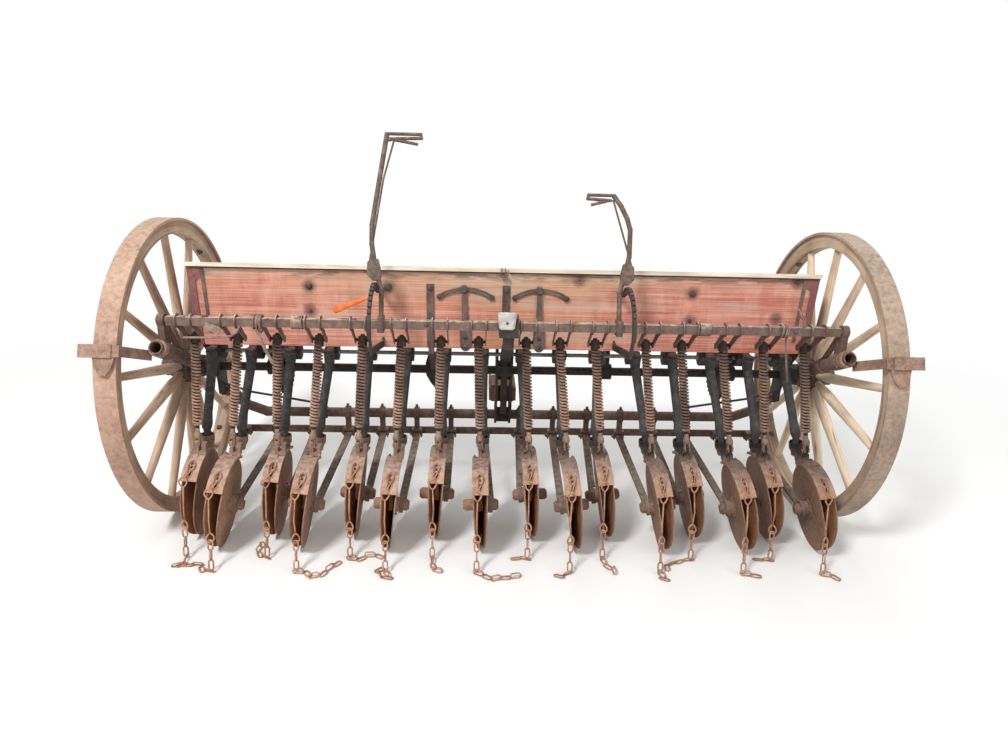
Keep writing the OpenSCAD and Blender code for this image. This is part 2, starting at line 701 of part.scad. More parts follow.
// Straps on the rear board: middle, half width, top and length down from the board's top edge
STRAPS = [[-300, 15, 50, 300], [-5, 15, 52, 250],
    [half_hopper - 56.5, 6, 4, 300], [56.5 - half_hopper, 6, 4, 300]];
module index_plates() {
    color(iron) on_back() translate([0, 0, seat]) {
        for (row = INDEX) translate([row[0], index_pivot, 0]) {
            rotate([0, 0, 90 - index_half_angle]) difference() {
                rotate_extrude(angle = 2 * index_half_angle) translate([index_r - 10, 0]) square([20, 5]);
                rotate([0, 0, 6]) rotate_extrude(angle = 2 * index_half_angle - 12)
                    translate([index_r - 3, -1]) square([6, 7]);
            }
            for (s = [-1, 1]) rotate([0, 0, s * index_half_angle]) translate([0, index_r, 0])
                cylinder(r = 12, h = 7);
            rotate([0, 0, -row[1]]) {
                translate([0, 0, 4]) linear_extrude(6) polygon([[-9, index_r + 10], [9, index_r + 10],
                    [12, 60], [22, 20], [22, -46], [-22, -46], [-22, 20], [-12, 60]]);
                translate([0, -46, 4]) cylinder(r = 21, h = 7);
                translate([0, index_r + 6, 3]) cylinder(r = 14, h = 12);
            }
        }
        for (row = STRAPS) translate([row[0] - row[1], -row[2] - row[3] + 40, 0])
            cube([2 * row[1], row[3] - 40, flange_t - 1]);
    }
    // The left strap goes on below the board to the pointed casting
    foot = back_y(hopper_floor) - 1;
    color(iron) yz_plate(shield_x - 20, shield_x + 4) polygon([[foot - 10, hopper_floor + 48],
        [foot - 4, hopper_floor + 48], [foot, hopper_floor - 14], [shield_y - seat, axle_z + 36],
        [shield_y - seat, axle_z + 16], [foot - 6, hopper_floor - 22]]);
}

// Seed tubes: a cup under the spout, a tapering upper tube and a thinner one in the boot's funnel
tube_cup_r = 21;
tube_cup_h = 42;
tube_top_r = 18;
tube_low_r = 15;
tube_wall = 3;
tube_knee = 30;
tube_dip = 22;
module seed_tubes(side) {
    color("#20242c") for (k = [first(side) : first(side) + half - 1]) {
        top = [cup_x(k), spout_y, spout_z - seat - tube_cup_h];
        neck = top + [0, 0, 6];
        fy = funnel_y - foot_y(k);
        knee = at_foot(k, [-side * funnel_off, fy, funnel_top + tube_knee]);
        low = at_foot(k, [-side * funnel_off, fy, funnel_top - tube_dip]);
        difference() {
            union() {
                translate(top) cylinder(r = tube_cup_r, h = tube_cup_h);
                translate(neck) sphere(r = tube_top_r + 1);
                along(neck, knee) cylinder(r1 = tube_top_r, r2 = tube_low_r, h = norm(knee - neck));
                translate(knee) sphere(r = tube_low_r * 1.06);
                rod(tube_low_r, knee, low);
            }
            rod(tube_low_r - tube_wall, knee, low + 0.1 * (low - knee));
        }
    }
}

module tyre(side) {
    color(rust) on_wheel(side) rotate_extrude($fn = 96)
        translate([wheel_r - tyre_t, -tyre_w / 2]) square([tyre_t, tyre_w]);
}

module rim(side) {
    color(wood) on_wheel(side) rotate_extrude($fn = 96)
        translate([wheel_r - tyre_t - rim_h - seat, -rim_w / 2]) square([rim_h, rim_w]);
}

// Spokes: radius at each distance from the foot; their heads stand in the rim
module wheel_spokes(side) {
    foot = hub_r + 1.4;
    top = wheel_r - tyre_t - rim_h - seat - 1.2;
    tilt = atan(dish / (top - foot));
    len = (top - foot) / cos(tilt);
    color(wood) translate([side * hub_x, 0, axle_z]) for (i = [0 : spokes - 1])
        rotate([i * 360 / spokes, 0, 0]) translate([0, 0, foot]) rotate([0, side * tilt, 0])
            rotate_extrude() polygon([[0, 0], [13, 0], [15, 22], [21, 80], [21, 130], [17, 300],
                [15, len - 40], [15, len], [0, len]]);
}

module hub(side) {
    color(iron) translate([side * hub_x, 0, axle_z]) rotate([0, side * 90, 0]) rotate_extrude()
        polygon([[axle_r + fit, -hub_len / 2], [46, -hub_len / 2], [46, -hub_len / 2 + 16], [60, -36],
            [hub_r, -28], [hub_r, 28], [60, 36], [44, hub_len / 2 - 16], [44, hub_len / 2],
            [axle_r + fit, hub_len / 2]]);
}

// Half of the pressure bar with its round collar and a yoke over each opener
COLLAR_X = [5 * spacing + 6, 5 * spacing - 38];
collar_half = 20;
module bar(side) {
    collar_x = COLLAR_X[side == LEFT ? 0 : 1];
    color(rust) {
        mirror([side == LEFT ? 1 : 0, 0, 0]) {
            block(centre_w + 5, side_pipe_x - arm_w / 2 - 5, -bar_y - bar_side / 2, -bar_y + bar_side / 2,
                bar_z - bar_side / 2, bar_z + bar_side / 2);
            x_rod(journal_r, 4, centre_w + 6, -bar_y, bar_z);
            x_rod(journal_r, side_pipe_x - arm_w / 2 - 6, side_pipe_x + arm_w / 2 + 6, -bar_y, bar_z);
            x_rod(25, collar_x - collar_half, collar_x + collar_half, -bar_y, bar_z);
        }
        for (k = [first(side) : first(side) + half - 1]) for (s = [-1, 1]) translate([yoke_x(k), 0, 0])
            yoke_arm(s < 0 ? -yoke_gap / 2 - yoke_t : yoke_gap / 2);
    }
}
module yoke_arm(x0) {
    dy = yoke_end_y + bar_y;
    dz = yoke_end_z - bar_z;
    reach = norm([dy, dz]);
    translate([0, -bar_y, bar_z]) {
        x_rod(27, x0, x0 + yoke_t, 0, 0);
        translate([x0, 0, 0]) rotate([atan2(dz, dy), 0, 0]) yz_plate(0.5, yoke_t - 0.5)
            polygon([[0, -20], [reach, -10], [reach, 10], [reach / 2, 10], [0, 15]]);
        x_rod(13, x0, x0 + yoke_t, dy, dz);
    }
}

// Levers, each with its latch, the latch's rod and trigger, and a looped grip
lever_r = 9;
latch_rod_r = 3.5;
LATCH = [[4, 158], [34, 158], [52, 176], [51, 222], [34, 238], [12, 234], [2, 190]];
module lever(side) {
    row = lever_row(side);
    foot_at = lever_x(side);
    path = [for (p = row[PATH]) [side * (foot_at + p[0]), 0, p[1]]];
    end = path[len(path) - 1];
    grip = end - [side * row[REACH], 0, 0];
    pivot = end - [side * 26, 0, 22];
    neck = 0.5 * (end + path[len(path) - 2]) - [side * 14, 0, 0];
    color(rust) translate([0, -bar_y, bar_z]) difference() {
        union() {
            rotate([-lever_lean, 0, 0]) {
                tube_run(lever_r, path);
                tube_run(lever_r - 3, [end + [side * 6, 0, 0], grip, grip - [side * 3, 0, 14],
                    end - [side * 8, 0, 19]]);
                rod(latch_rod_r + 2, pivot, grip + [side * 10, 0, -36]);
                tube_run(latch_rod_r, [pivot, neck, [side * (foot_at + 44), 0, 226]]);
                rod(latch_rod_r, pivot, end - [0, 0, 26]);
                translate([0, 11, 0]) rotate([90, 0, 0]) linear_extrude(22)
                    polygon([for (p = LATCH) [side * (foot_at + p[0]), p[1]]]);
            }
            block(side * foot_at - 11, side * foot_at + 11, -27, 27, -27, 27);
        }
        block(side * foot_at - 20, side * foot_at + 20, -bar_side / 2 - 0.1, bar_side / 2 + 0.1,
            -bar_side / 2 - 0.1, bar_side / 2 + 0.1);
    }
}

// Both discs of each opener with their flanges and stepped bearing caps
module discs(side) {
    color(rust) for (k = [first(side) : first(side) + half - 1]) on_foot(k) for (s = [-1, 1]) on_disc(s) {
        cylinder(r = disc_r, h = disc_t, center = true, $fn = 96);
        cylinder(r = flange_r, h = disc_t / 2 + 3);
        cylinder(r = step_r, h = step_h);
        cylinder(r = hub_cap_r, h = hub_cap_h - 6);
        cylinder(r = hub_cap_r - 5, h = hub_cap_h);
        translate([0, 0, -3]) cylinder(r = 12, h = 4);
    }
}

// Cast boots between the discs, each with its cover, funnel and the eye of the rod
module boots(side) {
    color(rust) for (k = [first(side) : first(side) + half - 1]) {
        fy = funnel_y - foot_y(k);
        ey = eye_y - foot_y(k);
        ez = (eye_z - foot_z(k)) / cos(lean(k));
        on_foot(k) difference() {
            union() {
                yz_plate(-7, 7) polygon([[-24, 0], [-10, -22], [10, -22], [24, 0], [fy + 20, 150],
                    [fy + 20, 192], [ey + 14, 196], [ey + 14, ez - 16], [ey - 14, ez - 16], [ey - 14, 188],
                    [-95, 162], [-60, 90]]);
                x_rod(29, -9, 9, 0, 0);
                rotate([0, 90, 0]) rotate([0, 0, 90]) translate([0, 0, -cover_w / 2]) cover_band();
                translate([-side * funnel_off, fy, funnel_low]) funnel();
                // Ear beside the rod's fork
                mirror([side == LEFT ? 0 : 1, 0, 0]) {
                    block(0, 34, ey - 13, ey + 13, 186, 200);
                    block(20, 34.5, ey - 12, ey + 9, 187, 234);
                }
            }
            translate([-side * funnel_off, fy, funnel_top - funnel_cup])
                cylinder(r = funnel_r - 4, h = funnel_cup + 1);
            rotate([slot_at - 90, 0, 0]) translate([-4.5, -13, cover_r - 4]) cube([9, 26, 14]);
        }
        difference() {
            yz_plate(eye_x(k) - 4.5, eye_x(k) + 4.5) translate([eye_y, eye_z])
                polygon([[-12, -28], [12, -28], [12, 8], [7, 13], [-7, 13], [-12, 8]]);
            x_rod(drag_pin_r + fit, eye_x(k) - 10, eye_x(k) + 10, eye_y, eye_z);
        }
    }
}
// A channel bent round the discs' edges, its lips turned in
module cover_band() {
    rotate([0, 0, cover_from]) rotate_extrude(angle = cover_to - cover_from, $fn = 96)
        polygon([[cover_r - cover_lip, 0], [cover_r + cover_t, 0], [cover_r + cover_t, cover_w],
            [cover_r - cover_lip, cover_w], [cover_r - cover_lip, cover_w - cover_t],
            [cover_r, cover_w - cover_t], [cover_r, cover_t], [cover_r - cover_lip, cover_t]]);
}
module funnel() {
    h = funnel_top - funnel_low;
    rotate_extrude()
        polygon([[0, 0], [18, 0], [21, 20], [funnel_r, h - funnel_cup - 2], [funnel_r, h], [0, h]]);
}

// Flat bars from the clamps' pins to the rings round the inner bearing caps
module drag_bars(side) {
    color(rust) for (k = [first(side) : first(side) + half - 1]) {
        tail = at_foot(k, [-side * eye_ring_at, 0, 0]);
        front = [row_x(k), drag_y - 8, drag_z];
        difference() {
            union() {
                x_rod(10, row_x(k) - lug_gap / 2 + 2, row_x(k) + lug_gap / 2 - 2, drag_y, drag_z);
                flat_bar(front, tail, drag_w - 2, drag_t, 28);
                on_foot(k) on_disc(-side) translate([0, 0, step_h + 1])
                    cylinder(r = hub_cap_r + 10, h = ring_t);
            }
            x_rod(drag_pin_r + fit, row_x(k) - 20, row_x(k) + 20, drag_y, drag_z);
            on_foot(k) on_disc(-side) cylinder(r = hub_cap_r + seat, h = 90);
            on_foot(k) on_disc(-side) cylinder(r = flange_r + 6, h = step_h + seat);
        }
    }
}

// Lift chains, hanging from the covers' lower edges to the ground
link_wire = 6;
chain_ring = 17;
chain_x = -14;
module wire_ring(r) {
    translate([-link_wire / 2, 0, 0]) yz_plate(0, link_wire) difference() {
        circle(r = r, $fn = 6);
        circle(r = r - link_wire, $fn = 6);
    }
}
module chains(side) {
    out = cover_r + cover_t + chain_ring + seat;
    hook_at = cover_to - 4;
    color(rust) for (k = [first(side) : first(side) + half - 1]) {
        hook = at_foot(k, [chain_x, out * cos(hook_at), out * sin(hook_at)]);
        low = [hook[0], foot_y(k) - disc_r - 3 * chain_ring, chain_ring];
        link_from = hook - [0, 0, chain_ring - link_wire / 2];
        link_to = low + [0, 0, chain_ring - link_wire / 2];
        translate(hook) rotate([0, -lean(k), 0]) rotate([hook_at, 0, 0]) wire_ring(chain_ring);
        along(link_from, link_to) cylinder(r = 3.4, h = norm(link_to - link_from), $fn = 6);
        translate(low) wire_ring(chain_ring);
    }
}

// Rods in the boots' eyes, each with its spring and the block between the yoke's arms
rod_r = 8;
spring_low = 84;
block_r = 17;
module springs(side) {
    color(rust) for (k = [first(side) : first(side) + half - 1]) {
        eye = [eye_x(k), eye_y, eye_z];
        top = [yoke_x(k), yoke_end_y, yoke_end_z];
        stand = norm(top - eye);
        length = stand - spring_low - 18;
        pitch = length / spring_turns;
        x_rod(drag_pin_r, eye_x(k) - 10, eye_x(k) + 10, eye_y, eye_z);
        for (s = [-1, 1]) translate([eye_x(k) + s * 7.75, 0, 0])
            block(-2.5, 2.5, eye_y - 9, eye_y + 9, eye_z - 11, eye_z + 28);
        x_rod(6, yoke_x(k) - yoke_gap / 2 + 0.5, yoke_x(k) + yoke_gap / 2 - 0.5, yoke_end_y, yoke_end_z);
        along(eye, top) {
            translate([0, 0, 30]) sphere(r = 14);
            translate([0, 0, 30]) cylinder(r = rod_r, h = stand - 4);
            translate([0, 0, spring_low - 7]) cylinder(r = 13, h = 8);
            translate([0, 0, spring_low]) rotate_extrude() polygon(concat([[0, 0]],
                [for (i = [0 : spring_turns - 1])
                    each [[spring_d / 2 - 5, i * pitch], [spring_d / 2, (i + 0.5) * pitch]]],
                [[spring_d / 2 - 5, length], [0, length]]));
            translate([0, 0, stand - 15]) cylinder(r = block_r, h = 30);
        }
    }
}

axle();
side_castings();
side_pipes();
bar_arms();
centre_post();
axle_hangers();
cross_pipe();
truss_rods();
drag_clamps();
drag_rail();
tongue_stub();
scrapers();
hopper_back();
hopper_front();
hopper_floor();
hopper_ends();
lid_hinges();
feed_cups();
feed_shaft();
feed_gears();
quadrants();
index_plates();
seed_tubes(LEFT);  // seed_tubes_left
seed_tubes(RIGHT);  // seed_tubes_right
lid(LEFT);  // lid_left
lid(RIGHT);  // lid_right
tyre(LEFT);  // tyre_left
rim(LEFT);  // rim_left
wheel_spokes(LEFT);  // spokes_left
hub(LEFT);  // hub_left
tyre(RIGHT);  // tyre_right
rim(RIGHT);  // rim_right
wheel_spokes(RIGHT);  // spokes_right
hub(RIGHT);  // hub_right
bar(LEFT);  // bar_left
lever(LEFT);  // lever_left
bar(RIGHT);  // bar_right
lever(RIGHT);  // lever_right
discs(LEFT);  // discs_left
boots(LEFT);  // boots_left
drag_bars(LEFT);  // drag_bars_left
chains(LEFT);  // chains_left
discs(RIGHT);  // discs_right
boots(RIGHT);  // boots_right
drag_bars(RIGHT);  // drag_bars_right
chains(RIGHT);  // chains_right
springs(LEFT);  // springs_left
springs(RIGHT);  // springs_right
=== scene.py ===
"""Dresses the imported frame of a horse-drawn seed drill: bleached wheels, a faded red hopper, rusty openers.

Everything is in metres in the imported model's frame: X along the axle, Y the way it travels, Z up. Small
forged pieces are drawn in millimetres and set out at their places.
"""

import random
from math import atan2, copysign, cos, pi, radians, sin, sqrt, tan, tau

import bmesh
import bpy
from mathutils import Matrix, Quaternion, Vector


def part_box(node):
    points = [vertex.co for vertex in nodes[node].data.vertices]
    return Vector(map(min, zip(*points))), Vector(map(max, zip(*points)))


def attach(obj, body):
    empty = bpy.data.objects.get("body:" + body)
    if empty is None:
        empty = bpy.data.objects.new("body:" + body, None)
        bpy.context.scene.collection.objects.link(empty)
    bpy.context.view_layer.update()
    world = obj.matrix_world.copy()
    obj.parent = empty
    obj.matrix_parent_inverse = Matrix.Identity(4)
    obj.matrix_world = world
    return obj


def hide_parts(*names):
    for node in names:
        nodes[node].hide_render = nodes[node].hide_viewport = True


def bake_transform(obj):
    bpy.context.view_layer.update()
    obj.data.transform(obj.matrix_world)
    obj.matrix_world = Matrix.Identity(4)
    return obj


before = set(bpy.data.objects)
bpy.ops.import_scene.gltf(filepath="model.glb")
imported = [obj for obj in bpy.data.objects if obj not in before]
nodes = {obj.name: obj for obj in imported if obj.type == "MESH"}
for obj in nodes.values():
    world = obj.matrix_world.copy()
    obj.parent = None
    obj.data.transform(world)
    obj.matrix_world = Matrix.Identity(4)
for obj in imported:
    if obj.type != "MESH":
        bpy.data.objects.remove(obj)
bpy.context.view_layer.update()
scene = bpy.context.scene
SIDES = {"left": -1, "right": 1}
MM = 0.001


# Camera: behind the drill, a little left of the middle, at a standing person's eye height
EYE = Vector((-0.110, -2.884, 1.550))
YAW, PITCH, ROLL = (radians(angle) for angle in (2.22, 18.69, 1.56))
LENS_MM = 25.17
SENSOR_MM = 36


def new_object(name, data):
    made = bpy.data.objects.new(name, data)
    scene.collection.objects.link(made)
    return made


sight = Vector((sin(YAW) * cos(PITCH), cos(YAW) * cos(PITCH), -sin(PITCH)))
level = Vector((cos(YAW), -sin(YAW), 0))
upright = level.cross(sight)
sideways = level * cos(ROLL) + upright * sin(ROLL)
overhead = upright * cos(ROLL) - level * sin(ROLL)
camera = new_object("camera", bpy.data.cameras.new("camera"))
camera.matrix_world = Matrix.Translation(EYE) @ Matrix((sideways, overhead, -sight)).transposed().to_4x4()
camera.data.lens = LENS_MM
camera.data.sensor_width = SENSOR_MM
scene.camera = camera


# Plain studio: a pale floor whose far part is as white as the world, a soft key lamp from the upper left,
# a fill from the right and a lamp behind that draws the edges
FLOOR_REACH = 30
FLOOR_COLOUR = (0.84, 0.84, 0.83, 1)
FLOOR_FADE = (2.0, 4.6)
WORLD_STRENGTH = 0.62


def add(tree, kind, inputs=(), **settings):
    """Adds a node; inputs maps a socket's name or number to a value or to the output that feeds it."""
    made = tree.nodes.new(kind)
    for key, value in settings.items():
        setattr(made, key, value)
    for key, value in dict(inputs).items():
        socket = made.inputs[key]
        if isinstance(value, bpy.types.NodeSocket):
            tree.links.new(value, socket)
        else:
            socket.default_value = value
    return made


floor_mesh = bpy.data.meshes.new("floor")
corners = [(x * FLOOR_REACH, y * FLOOR_REACH, 0) for x, y in ((-1, -1), (1, -1), (1, 1), (-1, 1))]
floor_mesh.from_pydata(corners, [], [(0, 1, 2, 3)])
floor = new_object("floor", floor_mesh)
floor_finish = bpy.data.materials.new("pale_floor")
floor_finish.use_nodes = True
ground = floor_finish.node_tree
near = ground.nodes["Principled BSDF"]
near.inputs["Base Color"].default_value = FLOOR_COLOUR
near.inputs["Roughness"].default_value = 0.9
ground_place = add(ground, "ShaderNodeTexCoord").outputs["Object"]
away = add(ground, "ShaderNodeVectorMath", {0: ground_place}, operation="LENGTH").outputs["Value"]
fade = add(ground, "ShaderNodeMapRange",
           {"Value": away, "From Min": FLOOR_FADE[0], "From Max": FLOOR_FADE[1]},
           interpolation_type="SMOOTHSTEP").outputs[0]
watched = add(ground, "ShaderNodeLightPath").outputs["Is Camera Ray"]
share = add(ground, "ShaderNodeMath", {0: fade, 1: watched}, operation="MULTIPLY").outputs[0]
far = add(ground, "ShaderNodeEmission").outputs[0]
mixed = add(ground, "ShaderNodeMixShader", {0: share, 1: near.outputs[0], 2: far}).outputs[0]
ground.links.new(mixed, ground.nodes["Material Output"].inputs["Surface"])
floor.data.materials.append(floor_finish)

world = bpy.data.worlds.new("studio")
world.use_nodes = True
sky = world.node_tree
rays = add(sky, "ShaderNodeLightPath")
seen = add(sky, "ShaderNodeMath", {0: rays.outputs["Is Camera Ray"], 1: rays.outputs["Is Glossy Ray"]},
           operation="MAXIMUM").outputs[0]
strength = add(sky, "ShaderNodeMapRange", {"Value": seen, "To Min": WORLD_STRENGTH, "To Max": 1.0})
sky.links.new(strength.outputs[0], sky.nodes["Background"].inputs["Strength"])
sky.nodes["Background"].inputs["Color"].default_value = (1, 1, 1, 1)
scene.world = world
scene.view_settings.view_transform = "Standard"


def lamp(name, place, target, size, watts):
    """A square soft lamp that faces its target."""
    light = bpy.data.lights.new(name, "AREA")
    light.size = size
    light.energy = watts
    made = new_object(name, light)
    made.location = place
    made.rotation_euler = (Vector(target) - Vector(place)).to_track_quat("-Z", "Y").to_euler()


lamp("key", (-2.6, -4.2, 5.4), (0, -0.1, 0.5), 1.3, 380)
lamp("fill", (4.2, -3.6, 2.6), (0.2, -0.1, 0.6), 3.0, 60)
lamp("rim_light", (0.5, 5.0, 4.2), (0, 0, 0.6), 3.0, 130)


# Rust and old wood are effects that many materials share, so each is a shader group, built once
RELIEF_DEPTH = 0.002


def colour(code):
    """Linear colour of a web colour code."""
    parts = [int(code[i:i + 2], 16) / 255 for i in (1, 3, 5)]
    return [c / 12.92 if c <= 0.04045 else ((c + 0.055) / 1.055) ** 2.4 for c in parts] + [1]


def new_group(name, takes):
    """A shader group that takes a place and named inputs and gives a colour, a roughness and a height."""
    tree = bpy.data.node_groups.new(name, "ShaderNodeTree")
    kinds = {float: "NodeSocketFloat", list: "NodeSocketColor", tuple: "NodeSocketVector"}
    for label, value in [("Place", (0.0, 0.0, 0.0)), *takes.items()]:
        socket = tree.interface.new_socket(label, in_out="INPUT", socket_type=kinds[type(value)])
        socket.default_value = value
    for label, kind in (("Colour", list), ("Roughness", float), ("Height", float)):
        tree.interface.new_socket(label, in_out="OUTPUT", socket_type=kinds[kind])
    takes, gives = add(tree, "NodeGroupInput").outputs, add(tree, "NodeGroupOutput").inputs
    return tree, takes["Place"], takes, gives


def noise(tree, place, scale, detail=4.0, roughness=0.6):
    return add(tree, "ShaderNodeTexNoise", {"Vector": place, "Scale": scale, "Detail": detail,
                                            "Roughness": roughness}).outputs["Fac"]


def spread(tree, value, low, high, start=0.0, end=1.0):
    """Stretches the part of a value from low to high over start to end."""
    return add(tree, "ShaderNodeMapRange", {"Value": value, "From Min": low, "From Max": high,
                                            "To Min": start, "To Max": end}).outputs[0]


def calc(tree, operation, first, second=0.0, third=0.0):
    return add(tree, "ShaderNodeMath", {0: first, 1: second, 2: third}, operation=operation).outputs[0]


def blend(tree, factor, first, second):
    return add(tree, "ShaderNodeMix", {0: factor, 6: first, 7: second}, data_type="RGBA").outputs[2]


def here(tree):
    return add(tree, "ShaderNodeTexCoord").outputs["Object"]


def scaled(tree, place, scale, shift=(0.0, 0.0, 0.0)):
    return add(tree, "ShaderNodeMapping", {"Vector": place, "Scale": scale, "Location": shift}).outputs[0]


def split(tree, place):
    return add(tree, "ShaderNodeSeparateXYZ", {0: place}).outputs


# Rust in three tones with grit and pits. Dust lies on what faces up, and painted shade darkens the right
# side.
rust, place, takes, gives = new_group("old_iron", {
    "Dark": colour("#2a211c"), "Middle": colour("#5a4034"), "Light": colour("#8a6650"),
    "Dust": colour("#a08a78"), "Dusting": 0.35, "Blotch size": 9.0, "Darkness": 0.5, "Right shade": 0.0})
blotch = noise(rust, place, takes["Blotch size"], 5.0, 0.62)
patch = noise(rust, place, 55.0, 4.0, 0.65)
grit = noise(rust, place, 420.0, 3.0, 0.7)
uneven = calc(rust, "MULTIPLY_ADD", patch, 0.45, calc(rust, "MULTIPLY", blotch, 0.55))
bias = calc(rust, "SUBTRACT", uneven, calc(rust, "MULTIPLY_ADD", takes["Darkness"], 0.2, -0.1))
body = blend(rust, spread(rust, bias, 0.36, 0.50), takes["Dark"], takes["Middle"])
body = blend(rust, spread(rust, bias, 0.50, 0.66), body, takes["Light"])
body = blend(rust, spread(rust, grit, 0.40, 0.75, 0.0, 0.30), body, takes["Light"])
body = blend(rust, spread(rust, grit, 0.60, 0.25, 0.0, 0.45), body, takes["Dark"])
facing_up = split(rust, add(rust, "ShaderNodeNewGeometry").outputs["Normal"])["Z"]
settled = calc(rust, "MULTIPLY", spread(rust, facing_up, 0.2, 0.95), spread(rust, patch, 0.35, 0.6))
settled = calc(rust, "MULTIPLY", settled, takes["Dusting"])
body = blend(rust, settled, body, takes["Dust"])
# painted shade: near-black blotches that grow towards the right side, which lies in shade; they are also made
# less rough there
to_right = spread(rust, split(rust, place)["X"], -0.2, 1.0, 0.15, 1.0)
shade_at_right = calc(rust, "MULTIPLY", to_right, takes["Right shade"])
shade_at_right = calc(rust, "MULTIPLY", shade_at_right, spread(rust, blotch, 0.36, 0.62, 0.35, 1.0))
rust.links.new(blend(rust, shade_at_right, body, colour("#1a1613")), gives["Colour"])
dullness = calc(rust, "MULTIPLY_ADD", shade_at_right, -0.25, spread(rust, bias, 0.3, 0.7, 0.66, 0.94))
rust.links.new(dullness, gives["Roughness"])
pits = calc(rust, "MULTIPLY_ADD", grit, 0.35, calc(rust, "MULTIPLY", patch, 0.65))
rust.links.new(pits, gives["Height"])

# Old wood: the grain runs along X of its place, the weather bleaches patches of it and long cracks open
wood, place, takes, gives = new_group("old_wood", {
    "Dark": colour("#6e5138"), "Middle": colour("#a58a66"), "Pale": colour("#cdb997"),
    "Weathering": 0.5, "Crack depth": 0.6})
fibre = noise(wood, scaled(wood, place, (3.0, 160.0, 160.0)), 1.0, 5.0, 0.6)
band = noise(wood, scaled(wood, place, (1.2, 26.0, 26.0)), 1.0, 3.0, 0.55)
bleach = noise(wood, place, 3.2, 4.0, 0.6)
long_cracks = noise(wood, scaled(wood, place, (2.2, 70.0, 70.0), (3.1, 1.7, 0.4)), 1.0, 2.0, 0.5)
tone = calc(wood, "MULTIPLY_ADD", fibre, 0.5, calc(wood, "MULTIPLY", band, 0.5))
body = blend(wood, spread(wood, tone, 0.38, 0.60), takes["Dark"], takes["Middle"])
pale = blend(wood, spread(wood, tone, 0.40, 0.56), takes["Middle"], takes["Pale"])
faded = calc(wood, "MULTIPLY_ADD", takes["Weathering"], 0.5, calc(wood, "SUBTRACT", bleach, 0.25))
body = blend(wood, spread(wood, faded, 0.35, 0.62), body, pale)
# painted shade: the cracks are darkened inside, as shade in a recess
slit = calc(wood, "MULTIPLY", spread(wood, long_cracks, 0.36, 0.27), takes["Crack depth"])
crack_shade = blend(wood, 0.55, takes["Dark"], colour("#1c1510"))
wood.links.new(blend(wood, slit, body, crack_shade), gives["Colour"])
wood.links.new(spread(wood, tone, 0.3, 0.7, 0.74, 0.93), gives["Roughness"])
wood.links.new(calc(wood, "SUBTRACT", tone, calc(wood, "MULTIPLY", slit, 0.8)), gives["Height"])


def new_material(name):
    made = bpy.data.materials.new(name)
    made.use_nodes = True
    tree = made.node_tree
    return made, tree, tree.nodes["Principled BSDF"].inputs, here(tree)


def worn(name, group, values, bump, lie=None):
    """A material that wears a shader group; lie turns a place into one along the grain."""
    made, tree, shader, place = new_material(name)
    values["Place"] = lie(tree, place) if lie else place
    skin = add(tree, "ShaderNodeGroup", values, node_tree=group).outputs
    relief = add(tree, "ShaderNodeBump", {"Strength": bump, "Distance": RELIEF_DEPTH,
                                          "Height": skin["Height"]})
    tree.links.new(skin["Colour"], shader["Base Color"])
    tree.links.new(skin["Roughness"], shader["Roughness"])
    tree.links.new(relief.outputs[0], shader["Normal"])
    return made


def iron(name, dark, middle, light, dust, dusting, blotch, darkness, bump, right_shade=0.0, metal=0.0):
    """Rusty iron in three tones, with dust on what faces up and painted shade towards the right."""
    made = worn(name, rust, {
        "Dark": colour(dark), "Middle": colour(middle), "Light": colour(light), "Dust": colour(dust),
        "Dusting": dusting, "Blotch size": blotch, "Darkness": darkness, "Right shade": right_shade}, bump)
    made.node_tree.nodes["Principled BSDF"].inputs["Metallic"].default_value = metal
    return made


def timber(name, dark, middle, pale, weathering, cracks, bump=0.4, lie=None):
    """Old wood in three tones."""
    return worn(name, wood, {
        "Dark": colour(dark), "Middle": colour(middle), "Pale": colour(pale), "Weathering": weathering,
        "Crack depth": cracks}, bump, lie)


def lay_over(made, factor, code):
    """Lays a plain colour over a material's own, as far as factor says."""
    tree = made.node_tree
    skin = tree.nodes["Principled BSDF"].inputs["Base Color"]
    tree.links.new(blend(tree, factor, skin.links[0].from_socket, colour(code)), skin)


def dress(finish, *names):
    """Gives pieces one finish all over."""
    for name in names:
        nodes[name].data.materials.clear()
        nodes[name].data.materials.append(finish)


# Nuts, bolt heads and chain links are made once and then set out at the places of a table by one rule
def new_rule(name, takes):
    """A Geometry Nodes tree with named inputs (name: kind of socket)."""
    tree = bpy.data.node_groups.new(name, "GeometryNodeTree")
    for label, kind in takes.items():
        tree.interface.new_socket(label, in_out="INPUT", socket_type="NodeSocket" + kind)
    tree.interface.new_socket("Geometry", in_out="OUTPUT", socket_type="NodeSocketGeometry")
    return tree, add(tree, "NodeGroupInput").outputs, add(tree, "NodeGroupOutput").inputs


def follow_rule(name, tree, sizes, start=None):
    """Runs a tree with its sizes on a starting mesh and keeps the result as a mesh."""
    made = new_object(name, start or bpy.data.meshes.new(name))
    rule = made.modifiers.new("rule", "NODES")
    rule.node_group = tree
    for socket in tree.interface.items_tree:
        if socket.item_type == "SOCKET" and socket.in_out == "INPUT" and socket.name in sizes:
            rule[socket.identifier] = sizes[socket.name]
    made.update_tag()
    plain = bpy.data.meshes.new_from_object(made.evaluated_get(bpy.context.evaluated_depsgraph_get()))
    made.modifiers.clear()
    made.data = plain
    return made


